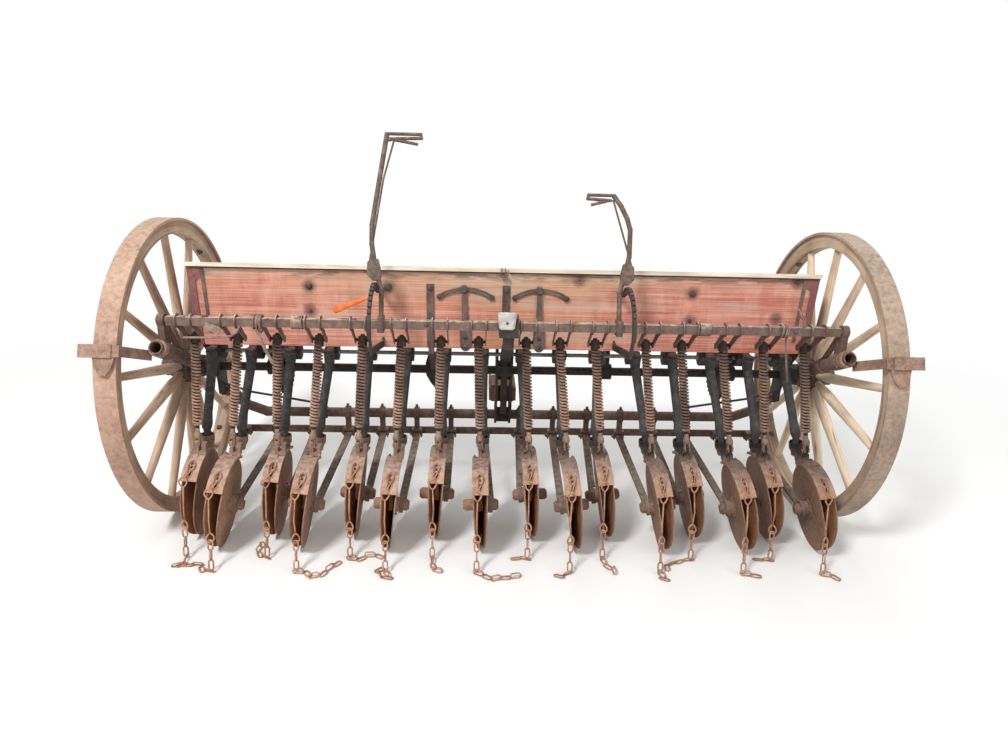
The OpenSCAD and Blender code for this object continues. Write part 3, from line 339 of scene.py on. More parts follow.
set_tree, takes, gives = new_rule("set_out", {
    "Geometry": "Geometry", "Piece": "Object", "Finish": "Material"})
piece_in = add(set_tree, "GeometryNodeObjectInfo", {"Object": takes["Piece"]}).outputs["Geometry"]
turn_in, size_in = [add(set_tree, "GeometryNodeInputNamedAttribute", {"Name": name},
                        data_type="FLOAT_VECTOR").outputs[0] for name in ("turn", "size")]
rotation = add(set_tree, "FunctionNodeEulerToRotation", {0: turn_in}).outputs[0]
placed = add(set_tree, "GeometryNodeInstanceOnPoints", {
    "Points": takes["Geometry"], "Instance": piece_in, "Rotation": rotation, "Scale": size_in}).outputs[0]
real = add(set_tree, "GeometryNodeRealizeInstances", {"Geometry": placed}).outputs[0]
finished = add(set_tree, "GeometryNodeSetMaterial", {"Geometry": real, "Material": takes["Finish"]})
set_tree.links.new(finished.outputs[0], gives["Geometry"])


def set_way(out, side=(1, 0, 0)):
    """The turn that points a piece's Z out of its surface and its X to the side."""
    out, side = Vector(out).normalized(), Vector(side)
    side = side - out * side.dot(out)
    if side.length < 1e-4:
        side = out.orthogonal()
    side.normalize()
    return Matrix((side, out.cross(side), out)).transposed().to_quaternion()


def set_out(name, piece, spots, finish, body):
    """Fixes copies of a small piece at spots (place, turn, size) and lets them ride on a body."""
    start = bpy.data.meshes.new(name)
    start.from_pydata([spot[0] for spot in spots], [], [])
    turns = start.attributes.new("turn", "FLOAT_VECTOR", "POINT")
    sizes = start.attributes.new("size", "FLOAT_VECTOR", "POINT")
    for index, (_, turn, size) in enumerate(spots):
        turns.data[index].vector = turn.to_euler()
        sizes.data[index].vector = (size, size, size) if isinstance(size, (int, float)) else size
    made = follow_rule(name, set_tree, {"Piece": piece, "Finish": finish}, start)
    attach(made, body)
    return made


def circle(count, radius, height=0.0, start=0.0, long=None):
    """Points of a circle, or of an oval that is long in Y, round Z."""
    angles = [start + tau * i / count for i in range(count)]
    return [Vector((radius * cos(a), (long or radius) * sin(a), height)) for a in angles]


def skin_rings(shape, rings, closed=False, smooth=True):
    """Joins rings of vertices into one closed skin."""
    for low, high in zip(rings, rings[1:] + rings[:1] * closed):
        for i in range(len(low)):
            j = i - len(low) + 1
            shape.faces.new((low[i], low[j], high[j], high[i])).smooth = smooth
    if not closed:
        shape.faces.new(rings[0][::-1])
        shape.faces.new(rings[-1])


def turned(shape, profile, sides, start=0.0):
    """Adds a closed turned form to a bmesh: (radius, height) pairs from its foot to its top."""
    rings = [[shape.verts.new(point) for point in circle(sides, radius, height, start)]
             for radius, height in profile]
    skin_rings(shape, rings, smooth=sides > 8)


def sweep(shape, points, radii, sides, closed=False, side=None):
    """Adds a round wire or tube along points to a bmesh, with its ends closed."""
    points = [Vector(point) for point in points]
    rings = []
    for index, point in enumerate(points):
        before = points[index - 1] if index or closed else point
        after = points[(index + 1) % len(points)] if index + 1 < len(points) or closed else point
        along = (after - before).normalized()
        side = Vector(side) if side else along.orthogonal()
        side = (side - along * side.dot(along)).normalized()
        over = along.cross(side)
        radius = radii[index] if isinstance(radii, list) else radii
        rings.append([shape.verts.new(point + (side * spot.x + over * spot.y) * radius)
                      for spot in circle(sides, 1.0)])
    skin_rings(shape, rings, closed)


def forged(name, shape, body=None, finish=None):
    """Keeps a bmesh as an object; one without a finish is a pattern to be set out elsewhere."""
    mesh = bpy.data.meshes.new(name)
    shape.to_mesh(mesh)
    shape.free()
    made = new_object(name, mesh)
    if finish:
        made.data.materials.append(finish)
    else:
        patterns.append(made)
    if body:
        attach(made, body)
    return made


patterns = []
nut_shape = bmesh.new()
turned(nut_shape, [(13.5, -1), (13.5, 1.6)], 14)
turned(nut_shape, [(12.4, 1.5), (12.4, 8.2), (10.4, 9.6)], 4, pi / 4)
turned(nut_shape, [(4.6, 9.4), (4.6, 13.6), (3.6, 14.6)], 10)
square_nut = forged("square_nut", nut_shape)
head_shape = bmesh.new()
turned(head_shape, [(10.0, -1), (10.0, 1.2), (8.8, 3.6), (6.0, 5.4), (2.2, 6.2)], 14)
round_head = forged("round_head", head_shape)


# Wheels: a rolled steel tyre shrunk on a bent wooden rim, and fourteen turned spokes driven into a cast hub.
# The weather has bleached the wood, more so at the right. Nuts hold the rim's plates and the hub's flanges.
TYRE_R = WHEEL_AXIS_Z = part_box("tyre_left")[1].z / 2
TYRE_WIDTH = 77 * MM
WHEEL_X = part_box("tyre_right")[1].x - TYRE_WIDTH / 2
RIM_LOW_R = TYRE_R - 62 * MM
SPOKES = 14
HUB_X = WHEEL_X - 25 * MM
HUB_NUT_R, HUB_NUT = 53 * MM, 0.62
FLANGE_OUT = 39.6 * MM
ROUND_GRAIN, SPOKE_GRAIN = 0.58, 0.25


def on_wheel(tree, place, stretch):
    """A place on a wheel as its stretched angle, its distance from the axle and how far it is along it."""
    parts = split(tree, place)
    up = calc(tree, "SUBTRACT", parts["Z"], WHEEL_AXIS_Z)
    turn = calc(tree, "ARCTAN2", parts["Y"], up)
    square = calc(tree, "MULTIPLY_ADD", up, up, calc(tree, "MULTIPLY", parts["Y"], parts["Y"]))
    return calc(tree, "MULTIPLY", turn, stretch), calc(tree, "SQRT", square), parts["X"]


def along_rim(tree, place):
    turn, out, axle = on_wheel(tree, place, ROUND_GRAIN)
    return add(tree, "ShaderNodeCombineXYZ", {0: turn, 1: out, 2: axle}).outputs[0]


def along_spokes(tree, place):
    turn, out, axle = on_wheel(tree, place, SPOKE_GRAIN)
    return add(tree, "ShaderNodeCombineXYZ", {0: out, 1: turn, 2: axle}).outputs[0]


tyre_finish = {
    "left": iron("tyre_steel_left", "#7d5f4e", "#a88672", "#c4a48f", "#cbb4a0", 0.3, 4.0, 0.4, 0.35),
    "right": iron("tyre_steel_right", "#6f5a4b", "#988271", "#b5a08d", "#c4b4a2", 0.3, 4.0, 0.4, 0.35)}
rim_finish = timber("rim_wood", "#6b5240", "#a58a72", "#c9b299", 0.4, 0.7, 0.45, along_rim)
spoke_finish = {
    "left": timber("spoke_wood_left", "#856851", "#b3947c", "#cfb49d", 0.42, 0.7, 0.45, along_spokes),
    "right": timber("spoke_wood_right", "#937860", "#c6ab90", "#dfcbb2", 0.60, 0.7, 0.45, along_spokes)}
hub_finish = iron("hub_iron", "#2c221c", "#57433a", "#7d6455", "#96836f", 0.3, 14.0, 0.6, 0.5)
for side, sign in SIDES.items():
    dress(tyre_finish[side], "tyre_" + side)
    dress(rim_finish, "rim_" + side)
    dress(spoke_finish[side], "spokes_" + side)
    dress(hub_finish, "hub_" + side)
    spots = []
    for i in range(SPOKES):
        a = tau * (i + 0.5) / SPOKES
        ray = Vector((0, sin(a), cos(a)))
        if i % 2:
            rim = Vector((sign * WHEEL_X, 0, WHEEL_AXIS_Z)) + ray * RIM_LOW_R
            spots.append((rim, set_way(-ray), MM))
        hub = Vector((sign * HUB_X, 0, WHEEL_AXIS_Z)) + ray * HUB_NUT_R
        for way in (-1, 1):
            spots.append((hub + Vector((way * FLANGE_OUT, 0, 0)), set_way((way, 0, 0)), HUB_NUT * MM))
    set_out("wheel_nuts_" + side, square_nut, spots, hub_finish, "wheel_" + side)


# Axle, hangers and castings between the hopper and the pipes, with the feed gears, cups and quadrants: grey
# iron and steel bar, once painted black, now dusty on top
black_iron = iron("black_iron", "#171411", "#332b27", "#574840", "#7b6d62", 0.45, 12.0, 0.60, 0.5)
dress(black_iron, "axle", "side_castings", "centre_post", "axle_hangers", "truss_rods", "feed_gears",
      "feed_cups", "quadrants")


# Pipes of the frame: wrought pipe sleeved together, the cross pipe bent up at its ends, with forged clamps
# and a flat rail for the drag bars, all in dark brown rust
pipe_rust = iron("pipe_rust", "#3a2a24", "#62493f", "#86695b", "#a08d7e", 0.4, 8.0, 0.5, 0.35)
dress(pipe_rust, "cross_pipe", "side_pipes", "bar_arms", "drag_clamps", "drag_rail")


# Scrapers: flat steel bars bent round the backs of the tyres and bolted to the side pipes. The mud that they
# scrape off keeps them pale.
scraper_rust = iron("scraper_rust", "#573f33", "#8a6a59", "#ad8d7b", "#b8a492", 0.4, 10.0, 0.45, 0.4)
dress(scraper_rust, "scrapers")


# Hopper: pine boards with faded red paint between cast end plates, held by carriage bolts and strap irons.
# Rust has run from the bolts. The feed index's arcs, pointers and straps are bolted to the rear board.
BACK_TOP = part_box("hopper_back")[1].z
BACK_TILT = atan2(25, 314)
BOARD_EDGE = (-0.190, 1.066)
OUT_OF_BOARD = Vector((0, -cos(BACK_TILT), -sin(BACK_TILT)))
# Bolts in the rear board: across, height, size
BOARD_BOLTS = [(-0.765, 0.998, 1.1), (-0.463, 0.999, 1.25), (0.725, 0.996, 1.1), (1.076, 0.899, 0.45),
               (0.277, 1.042, 0.45), (-0.767, 0.899, 0.7), (0.728, 0.885, 0.7), (1.134, 1.050, 0.75)]
# Nuts on the straps and index plates: across, height, how far out in mm, size
STRAP_NUTS = [(-0.005, 0.997, 4, 1.1), (-0.300, 0.999, 4, 1.1), (-0.264, 0.966, 7, 0.7),
              (-0.062, 0.966, 7, 0.7), (0.029, 0.966, 7, 0.7), (0.231, 0.966, 7, 0.7),
              (-0.163, 0.802, 10, 0.9), (-0.163, 0.765, 11, 1.0), (0.130, 0.802, 10, 0.9),
              (0.130, 0.765, 11, 1.0)]
# Wing rings that hold the pointers to their arcs: across, height
POINTER_RINGS = [(-0.1697, 1.0015), (0.1233, 1.0015)]
RING_OUT = 15 * MM
BOARD_HEAD = 1.25


def on_board(x, z, out=0.0):
    """A place on the rear board's face."""
    y, top = BOARD_EDGE
    return Vector((x, y + (top - z) * tan(BACK_TILT), z)) + OUT_OF_BOARD * out


# Faded paint: pink and deep red clouds with streaks along the grain, worn to bare wood at the top and in the
# middle, grey and dark along the top edge
paint, place, takes, gives = new_group("faded_paint", {
    "Paint": colour("#cf8c76"), "Deep paint": colour("#b8604f"), "Bare": colour("#cda079"),
    "Grey": colour("#bba897"), "Wear": 0.5})
fibre = noise(paint, scaled(paint, place, (2.6, 210.0, 210.0)), 1.0, 5.0, 0.62)
broad = noise(paint, scaled(paint, place, (1.6, 12.0, 12.0)), 1.0, 4.0, 0.6)
clouds = noise(paint, place, 3.1, 5.0, 0.62)
flake = noise(paint, scaled(paint, place, (7.0, 46.0, 46.0)), 1.0, 4.0, 0.62)
smudge = noise(paint, scaled(paint, place, (16.0, 5.0, 5.0)), 1.0, 5.0, 0.7)
hue = blend(paint, spread(paint, clouds, 0.38, 0.62), takes["Deep paint"], takes["Paint"])
for streak, low, high, most, code in (
        (fibre, 0.46, 0.66, 0.55, "#e0bba8"), (fibre, 0.50, 0.34, 0.55, "#96584a"),
        (smudge, 0.50, 0.72, 0.55, "#8f5347"), (smudge, 0.48, 0.30, 0.45, "#dcae9b")):
    hue = blend(paint, spread(paint, streak, low, high, 0.0, most), hue, colour(code))
where = split(paint, place)
near_top = spread(paint, where["Z"], BACK_TOP - 0.15, BACK_TOP, 0.0, 0.20)
from_middle = calc(paint, "ABSOLUTE", calc(paint, "ADD", where["X"], 0.05))
near_middle = spread(paint, from_middle, 0.85, 0.15, 0.0, 0.17)
flaking = calc(paint, "MULTIPLY_ADD", flake, 0.40, calc(paint, "MULTIPLY", broad, 0.60))
flaking = calc(paint, "ADD", flaking, calc(paint, "ADD", near_top, near_middle))
flaking = calc(paint, "ADD", flaking, calc(paint, "MULTIPLY_ADD", takes["Wear"], 0.3, -0.15))
bare = blend(paint, spread(paint, fibre, 0.35, 0.6), colour("#b07a54"), takes["Bare"])
greyed = calc(paint, "ADD", spread(paint, broad, 0.50, 0.66), calc(paint, "MULTIPLY", near_top, 2.2))
bare = blend(paint, calc(paint, "MINIMUM", greyed, 1.0), bare, takes["Grey"])
mask = spread(paint, flaking, 0.55, 0.76, 0.0, 0.85)
body = blend(paint, mask, hue, bare)
dark_top = calc(paint, "MULTIPLY", spread(paint, where["Z"], BACK_TOP - 0.045, BACK_TOP - 0.02),
                spread(paint, flake, 0.50, 0.58, 0.0, 0.6))
body = blend(paint, dark_top, body, colour("#5f463a"))
body = blend(paint, spread(paint, fibre, 0.32, 0.20, 0.0, 0.55), body, colour("#6e3a30"))
paint.links.new(body, gives["Colour"])
paint.links.new(spread(paint, mask, 0.0, 1.0, 0.60, 0.86), gives["Roughness"])
furrows = calc(paint, "MULTIPLY_ADD", fibre, 0.8, calc(paint, "MULTIPLY", mask, -0.2))
paint.links.new(furrows, gives["Height"])

board_paint = worn("faded_red_board", paint, {"Wear": 0.46}, 0.6)
tree = board_paint.node_tree
place = here(tree)
rough = noise(tree, place, 60.0)
stained = 0.0
for x, z, _ in BOARD_BOLTS:
    gap = add(tree, "ShaderNodeVectorMath", {0: place, 1: on_board(x, z)}, operation="DISTANCE")
    gap = calc(tree, "MULTIPLY_ADD", rough, -0.020, gap.outputs["Value"])
    stained = calc(tree, "MAXIMUM", stained, spread(tree, gap, 0.026, 0.006, 0.0, 0.66))
lay_over(board_paint, stained, "#4c2a26")
dress(board_paint, "hopper_back")
dress(worn("faded_red_front", paint, {"Wear": 0.5}, 0.6), "hopper_front")
dress(iron("red_cast_end", "#5a3733", "#7d4f4c", "#96655f", "#a58a80", 0.35, 7.0, 0.45, 0.3), "hopper_ends")
dress(timber("bare_board", "#5a3f2e", "#8d6a4d", "#b7967a", 0.3, 0.6), "hopper_floor", "tongue_stub")
strap_iron = iron("strap_iron", "#3c302c", "#62514c", "#82706a", "#9a8a80", 0.3, 14.0, 0.5, 0.4)
dress(strap_iron, "lid_hinges", "index_plates")
bolt_iron = iron("bolt_iron", "#231c1a", "#4a3d3a", "#75655f", "#8f8078", 0.25, 30.0, 0.5, 0.4)
flush = set_way(OUT_OF_BOARD)
spots = [(on_board(x, z), flush, size * BOARD_HEAD * MM) for x, z, size in BOARD_BOLTS]
set_out("board_bolts", round_head, spots, bolt_iron, "frame")
spots = [(on_board(x, z, out * MM), flush, size * MM) for x, z, out, size in STRAP_NUTS]
set_out("strap_nuts", round_head, spots, bolt_iron, "frame")
ring_shape = bmesh.new()
sweep(ring_shape, circle(18, 10.5, 1.5), 2.6, 8, True, (0, 0, 1))
turned(ring_shape, [(7.5, -1), (7.5, 0.6), (6.0, 1.0)], 6)
pointer_ring = forged("pointer_ring", ring_shape)
spots = [(on_board(x, z, RING_OUT), flush, MM) for x, z in POINTER_RINGS]
set_out("pointer_rings", pointer_ring, spots, strap_iron, "frame")


# Lids: bare pine boards hinged at the front, each with a dark batten nailed under the edge that hangs over
# the rear board, whose near-black is painted shadow of that overhang; a clip bent from strap iron stands
# where the two lids meet
HALF_HOPPER = 1219.2 * MM
MID_GAP, END_GAP = 6 * MM, 2 * MM
BATTEN_Y, BATTEN_Z = -0.19675, 1.0655
BATTEN_WIDE, BATTEN_THICK = 8.5 * MM, 5 * MM
CLIP_X = -0.019
lid_finish = timber("lid_board", "#a08d78", "#ccbaa2", "#e6dbc9", 0.6, 0.6)
# painted shadow: the batten is near black to stand for the shade under the lid's overhanging edge
shadow_batten_wood = timber("lid_shadow_batten", "#1d1613", "#33261f", "#4c3a2e", 0.2, 0.4)


def strip(shape, points, width, thick, face):
    """Adds a flat bar along points to a bmesh; face is the way its broad side looks."""
    points, face = [Vector(point) for point in points], Vector(face).normalized()
    rings = []
    for index, point in enumerate(points):
        before, after = points[max(index - 1, 0)], points[min(index + 1, len(points) - 1)]
        along = (after - before).normalized()
        over = along.cross(face).normalized()
        up = over.cross(along).normalized()
        rings.append([shape.verts.new(point + over * width / 2 * a + up * thick / 2 * b)
                      for a, b in ((-1, -1), (1, -1), (1, 1), (-1, 1))])
    skin_rings(shape, rings, smooth=False)
    bmesh.ops.recalc_face_normals(shape, faces=shape.faces)


for side, sign in SIDES.items():
    dress(lid_finish, "lid_" + side)
    batten_shape = bmesh.new()
    ends = [(sign * x, BATTEN_Y, BATTEN_Z) for x in (MID_GAP, HALF_HOPPER - END_GAP)]
    strip(batten_shape, ends, BATTEN_WIDE, BATTEN_THICK, (0, 0, 1))
    forged("lid_batten_" + side, batten_shape, "lid_%s_panel" % side, shadow_batten_wood)

clip_shape = bmesh.new()
strip(clip_shape, [(-0.030, -0.207, 1.052), (0.000, -0.207, 1.052)], 6 * MM, 14 * MM, (0, -1, 0))
for x in (CLIP_X - 7 * MM, CLIP_X + 7 * MM):
    strip(clip_shape, [(x, -0.203, 1.052), (x, -0.204, 1.084)], 4 * MM, 3 * MM, (0, -1, 0))
strip(clip_shape, [(CLIP_X, -0.192, 1.060), (CLIP_X, -0.208, 1.052)], 12 * MM, 4 * MM, (0, 0, 1))
forged("lid_clip", clip_shape, "frame", strap_iron)


# Feed shaft: a square steel bar through all the cups, whose rollers it turned. It is still bright where it
# was rubbed.
shaft_steel = iron("shaft_steel", "#5b5754", "#a19d9a", "#c9c6c2", "#c9c6c2", 0.1, 20.0, 0.3, 0.2, 0.0, 0.4)
dress(shaft_steel, "feed_shaft")


# Pressure bars and levers: square bar iron with forged yokes, brown with pale dust on top. The clamp in the
# middle has a cast cap without paint, and a few bolts stand out of the bars.
BAR_Y, BAR_Z = -0.380, 0.903
BOLT_OUT = 15.2 * MM
CAP_PLACE = Vector((-0.008, -0.421, 0.930))
CAP_WIDE, CAP_DEEP, CAP_TALL = 0.074, 0.024, 0.066
CAP_NARROW, CAP_SHALLOW, CAP_ROUND = 0.80, 0.84, 4 * MM
CAP_BOLT = Vector((-0.008, -0.433, 0.926))
# Bolts on the bars: side, across, the way they stand out, size
BAR_BOLTS = [("left", -1.095, (0, 0, 1), 1.2), ("left", -0.300, (0, -1, 0.2), 0.8),
             ("left", -0.560, (0, 0, 1), 0.7), ("right", 0.640, (0, 0, 1), 0.7),
             ("right", 1.060, (0, -1, 0), 0.8)]
bar_rust = iron("bar_rust", "#43342e", "#6b554b", "#8f776a", "#d0b8a8", 1.0, 10.0, 0.46, 0.4, 0.35)
lever_rust = iron("lever_rust", "#2e2520", "#56463c", "#85705f", "#a3917f", 0.4, 16.0, 0.52, 0.4)
cap_iron = iron("clamp_cap_iron", "#7a746f", "#b3aca6", "#d0cac4", "#cbc6c0", 0.2, 26.0, 0.35, 0.5)
cap_shape = bmesh.new()
bmesh.ops.create_cube(cap_shape, size=1.0)
for vert in cap_shape.verts:
    narrow = CAP_NARROW if vert.co.z < 0 else 1.0
    shallow = CAP_SHALLOW if vert.co.y < 0 else 1.0
    vert.co = CAP_PLACE + Vector((vert.co.x * CAP_WIDE * narrow * shallow, vert.co.y * CAP_DEEP,
                                  vert.co.z * CAP_TALL * shallow))
bmesh.ops.bevel(cap_shape, geom=cap_shape.edges[:], offset=CAP_ROUND, segments=2, affect="EDGES")
forged("clamp_cap", cap_shape, "frame", cap_iron)
set_out("clamp_cap_bolt", round_head, [(CAP_BOLT, set_way((0, -1, 0)), 0.5 * MM)], bolt_iron, "frame")
for side in SIDES:
    dress(bar_rust, "bar_" + side)
    dress(lever_rust, "lever_" + side)
    spots = [(Vector((x, BAR_Y, BAR_Z)) + Vector(face).normalized() * BOLT_OUT, set_way(face), size * MM)
             for name, x, face, size in BAR_BOLTS if name == side]
    set_out("bar_bolts_" + side, round_head, spots, bolt_iron, "lift_" + side)


# Scraps on the bars: old fence wire wound round the left bar with its end hanging, a rod and a plate left
# there, and three rings, a bent strip and a hanging rod on the right bar
scrap_iron = iron("scrap_iron", "#4a3830", "#7b6356", "#a38a7a", "#b39f8e", 0.4, 22.0, 0.45, 0.4)


def round_bar(x, length, turns, sides, deep, tall, sink=0.0):
    """Points wound round a pressure bar, from x on along it."""
    steps = turns * sides
    return [(x + length * i / steps, BAR_Y + deep * sin(i * tau / sides),
             BAR_Z - sink + tall * cos(i * tau / sides)) for i in range(steps + 1)]


wire_shape = bmesh.new()
sweep(wire_shape, round_bar(-0.928, 0.030, 3, 12, 0.026, 0.026), 3.2 * MM, 6)
sweep(wire_shape, round_bar(-0.915, 0.022, 2, 12, 0.030, 0.034, 0.006), 2.8 * MM, 6)
strip(wire_shape, [(-0.908, -0.406, 0.880), (-0.893, -0.404, 0.830), (-0.862, -0.400, 0.752)],
      11 * MM, 4 * MM, (0, -1, 0))
rod_end, rod_bend = Vector((-1.172, -0.404, 0.846)), Vector((-1.035, -0.410, 0.850))
bent_rod = [rod_end.lerp(rod_bend, t / 6) for t in range(7)]
bent_rod += [(-1.000, -0.411, 0.856), (-0.978, -0.408, 0.870), (-0.968, -0.403, 0.892)]
sweep(wire_shape, bent_rod, 4.2 * MM, 8)
strip(wire_shape, [(-1.093, -0.399, 0.890), (-1.060, -0.408, 0.882), (-1.036, -0.420, 0.871)],
      26 * MM, 3 * MM, (0, -1, 0.4))
forged("left_bar_scraps", wire_shape, "lift_left", scrap_iron)

hook_shape = bmesh.new()
for x in (1.010, 1.024, 1.032):
    sweep(hook_shape, round_bar(x, 0.0, 1, 14, 0.025, 0.025)[:-1], 3.0 * MM, 6, True, (1, 0, 0))
bent_strip = {
    4: [(1.096, -0.384, 0.918), (1.088, -0.388, 0.944), (1.072, -0.392, 0.962), (1.060, -0.394, 0.990)],
    3: [(1.098, -0.380, 0.918), (1.094, -0.384, 0.950), (1.080, -0.390, 0.966), (1.062, -0.394, 0.986)]}
for thick, points in bent_strip.items():
    strip(hook_shape, points, 12 * MM, thick * MM, (1, 0, 0.5))
sweep(hook_shape, [(1.040, -0.372, 0.886), (1.044, -0.366, 0.850), (1.066, -0.352, 0.760),
                   (1.084, -0.344, 0.690)], 4.0 * MM, 8)
forged("right_bar_scraps", hook_shape, "lift_right", scrap_iron)


# A tapered orange marker of painted wood, wired to the side of the left lever's notched quadrant; its paint
# is a little faded
TIP, HEEL = Vector((-0.4875, -0.450, 1.018)), Vector((-0.625, -0.400, 0.957))
HEEL_R, TAPER = 13.5, 10.0
marker_finish, tree, shader, place = new_material("orange_marker")
faded = spread(tree, noise(tree, place, 45.0), 0.35, 0.65)
tree.links.new(blend(tree, faded, colour("#d8591c"), colour("#ee8040")), shader["Base Color"])
shader["Roughness"].default_value = 0.55
grain = noise(tree, place, 300.0)
relief = add(tree, "ShaderNodeBump", {"Strength": 0.2, "Distance": 0.001, "Height": grain})
tree.links.new(relief.outputs[0], shader["Normal"])
marker_shape = bmesh.new()
steps = [t / 6 for t in range(7)]
sweep(marker_shape, [HEEL.lerp(TIP, t) for t in steps], [(HEEL_R - TAPER * t) * MM for t in steps], 10)
forged("orange_marker", marker_shape, "frame", marker_finish)


# Openers: sixteen cast boots in two ranks on drag bars of flat iron, each with two steel discs that lean
# together at their lower front edges and a slotted cover band. The covers are worn orange below; grease has
# blackened their tops, and painted shade darkens them more at the right. The discs' inner faces are browner.
RANK, SHIFT, SPLAY = 0, 1, 2
# From the left, in mm: the rank, the shift of the yoke from its row and the splay of the foot
OPENERS = [
    [0, -28, -53], [1, -22, -102], [0, -29, -48], [1, -25, -86], [0, -15, -54], [1, -21, -54], [0, -24, -23],
    [1, -34, 23], [0, -5, 47], [1, -28, 87], [0, -45, 91], [1, -3, 110], [0, -16, 114], [1, -9, 142],
    [0, -3, 113], [1, 5, 126]]
HALVES = {"left": range(0, 8), "right": range(8, 16)}
SPACING = 152.4
MIDDLE_ROW = 7.5
YOKE_END = (-300, 818)
EYE_AT = (-330, 400)
RANK_Y = (-295, -385)
DISC_R, DISC_T = 171, 4
TOE, MEET = radians(4.5), radians(50)
COVER_R = DISC_R + 18
SLOT_AT, NECK_AT = radians(131.5), radians(72)
FACE_IN = 2.3
DISC_CENTRE = (0.4, -0.34)
CAP_NUTS, CAP_NUT_R, CAP_NUT_OUT = 3, 37, 5
NECK_NUT_X, PIN_PLACE = 22, (-23, 60, 282)
NECK_NUT, CAP_NUT, PIN_NUT = 0.6, 0.42, 0.75


def row_x(k):
    return (k - MIDDLE_ROW) * SPACING


def yoke_x(k):
    return row_x(k) + OPENERS[k][SHIFT]


def lean(k):
    return atan2(OPENERS[k][SPLAY], YOKE_END[1])


def foot(k):
    """Middle of an opener's discs, at the height at which the lower one touches the ground, in mm."""
    drops = []
    for way in (-1, 1):
        rise = cos(TOE) * sin(lean(k)) - way * sin(TOE) * cos(MEET) * cos(lean(k))
        drops.append(DISC_R * sqrt(1 - rise * rise) + DISC_T / 2 * abs(rise))
    z = max(drops)
    return Vector((yoke_x(k) + (YOKE_END[1] - z) * tan(lean(k)), RANK_Y[OPENERS[k][RANK]], z))


def way_at_foot(k, x, y, z):
    """A direction given in an opener's leaning frame."""
    a = lean(k)
    return Vector((x * cos(a) - z * sin(a), y, x * sin(a) + z * cos(a)))


def at_foot(k, x, y, z):
    """A place beside an opener, measured in mm in its leaning frame."""
    return (foot(k) + way_at_foot(k, x, y, z)) * MM


def round_foot(k, x, out, angle):
    """A place out from the discs' axis at an angle up from the front."""
    return at_foot(k, x, out * cos(angle), out * sin(angle))


def disc_way(k, way):
    """The way a disc's outer face looks."""
    return way_at_foot(k, way * cos(TOE), sin(MEET) * sin(TOE),
                       -cos(MEET) * sin(TOE)).normalized()


disc_rust = iron("disc_rust", "#4d362b", "#8c6852", "#bc8f70", "#b59a86", 0.3, 7.0, 0.42, 0.4, 0.45)
boot_rust = iron("boot_rust", "#5d4438", "#a17f6d", "#cba793", "#d2b7a5", 0.5, 14.0, 0.40, 0.6, 0.55)
tree = boot_rust.node_tree
where = split(tree, here(tree))
lay_over(boot_rust, spread(tree, where["Z"], 0.345, 0.275, 0.0, 0.42), "#c18a64")
# grease on the covers' tops, and painted shade that deepens it towards the right
tops_grease_and_right_shade = calc(tree, "MULTIPLY", spread(tree, where["Z"], 0.335, 0.385),
               spread(tree, where["X"], -1.0, 0.6, 0.3, 0.97))
lay_over(boot_rust, tops_grease_and_right_shade, "#0f0c0a")
# painted shade: a near-black finish for the plates that fill the cover slots, standing for the dark inside
# the covers
slot_painted_shade = iron("slot_painted_shade", "#0d0a08", "#1a1310", "#2a1f19", "#3a2e27", 0.1, 30.0, 0.5, 0.2)
inner_rust = iron("inner_disc_rust", "#5f3d28", "#9c6b49", "#bf8a62", "#b59a86", 0.2, 9.0, 0.42, 0.4, 0.35)
drag_rust = iron("drag_rust", "#44362f", "#6e5a50", "#95806f", "#ab9a8b", 0.4, 10.0, 0.46, 0.4, 0.3)

slot_shape = bmesh.new()
sweep(slot_shape, circle(18, 7.5, 0.8, long=13.5), 2.9, 6, True, (0, 0, 1))
slot_boss = forged("slot_boss", slot_shape)
# a flat dark plate set just under each slot, painted as the shade seen through it
slot_shade_shape = bmesh.new()
sweep(slot_shade_shape, [(0, y, -1.2) for y in (-12, -10, 10, 12)], [2, 5, 5, 2], 10)
slot_hole = forged("slot_hole", slot_shade_shape)
face_shape = bmesh.new()
turned(face_shape, [(DISC_R - 3.5, -0.2), (DISC_R - 4.0, 0.2)], 64)
disc_face = forged("disc_face", face_shape)
for side in SIDES:
    dress(disc_rust, "discs_" + side)
    dress(boot_rust, "boots_" + side)
    dress(drag_rust, "drag_bars_" + side)
    slots, faces, nuts, pin_nuts = [], [], [], []
    for k in HALVES[side]:
        ray = way_at_foot(k, 0, cos(SLOT_AT), sin(SLOT_AT))
        slots.append((round_foot(k, 1, COVER_R, SLOT_AT), set_way(ray, way_at_foot(k, 1, 0, 0)), MM))
        ray = way_at_foot(k, 0, cos(NECK_AT), sin(NECK_AT))
        for x in (-NECK_NUT_X, NECK_NUT_X):
            nuts.append((round_foot(k, x, COVER_R, NECK_AT), set_way(ray), NECK_NUT * MM))
        for way in (-1, 1):
            out = disc_way(k, way)
            middle_x = way * DISC_R * sin(TOE)
            faces.append((at_foot(k, middle_x, *DISC_CENTRE) - out * FACE_IN * MM, set_way(-out), MM))
            for spot in circle(CAP_NUTS, CAP_NUT_R, CAP_NUT_OUT, 0.2 * k * tau / CAP_NUTS):
                centre = at_foot(k, middle_x, 0, 0)
                nuts.append((centre + set_way(out) @ spot * MM, set_way(out), CAP_NUT * MM))
        pin = (Vector((row_x(k), 0, 0)) + Vector(PIN_PLACE)) * MM
        pin_nuts.append((pin, set_way((-1, 0, 0)), PIN_NUT * MM))
    set_out("slot_bosses_" + side, slot_boss, slots, boot_rust, "gang_" + side)
    set_out("slot_holes_" + side, slot_hole, slots, slot_painted_shade, "gang_" + side)
    set_out("disc_faces_" + side, disc_face, faces, inner_rust, "gang_" + side)
    set_out("opener_nuts_" + side, square_nut, nuts, drag_rust, "gang_" + side)
    set_out("drag_pin_nuts_" + side, square_nut, pin_nuts, pipe_rust, "frame")
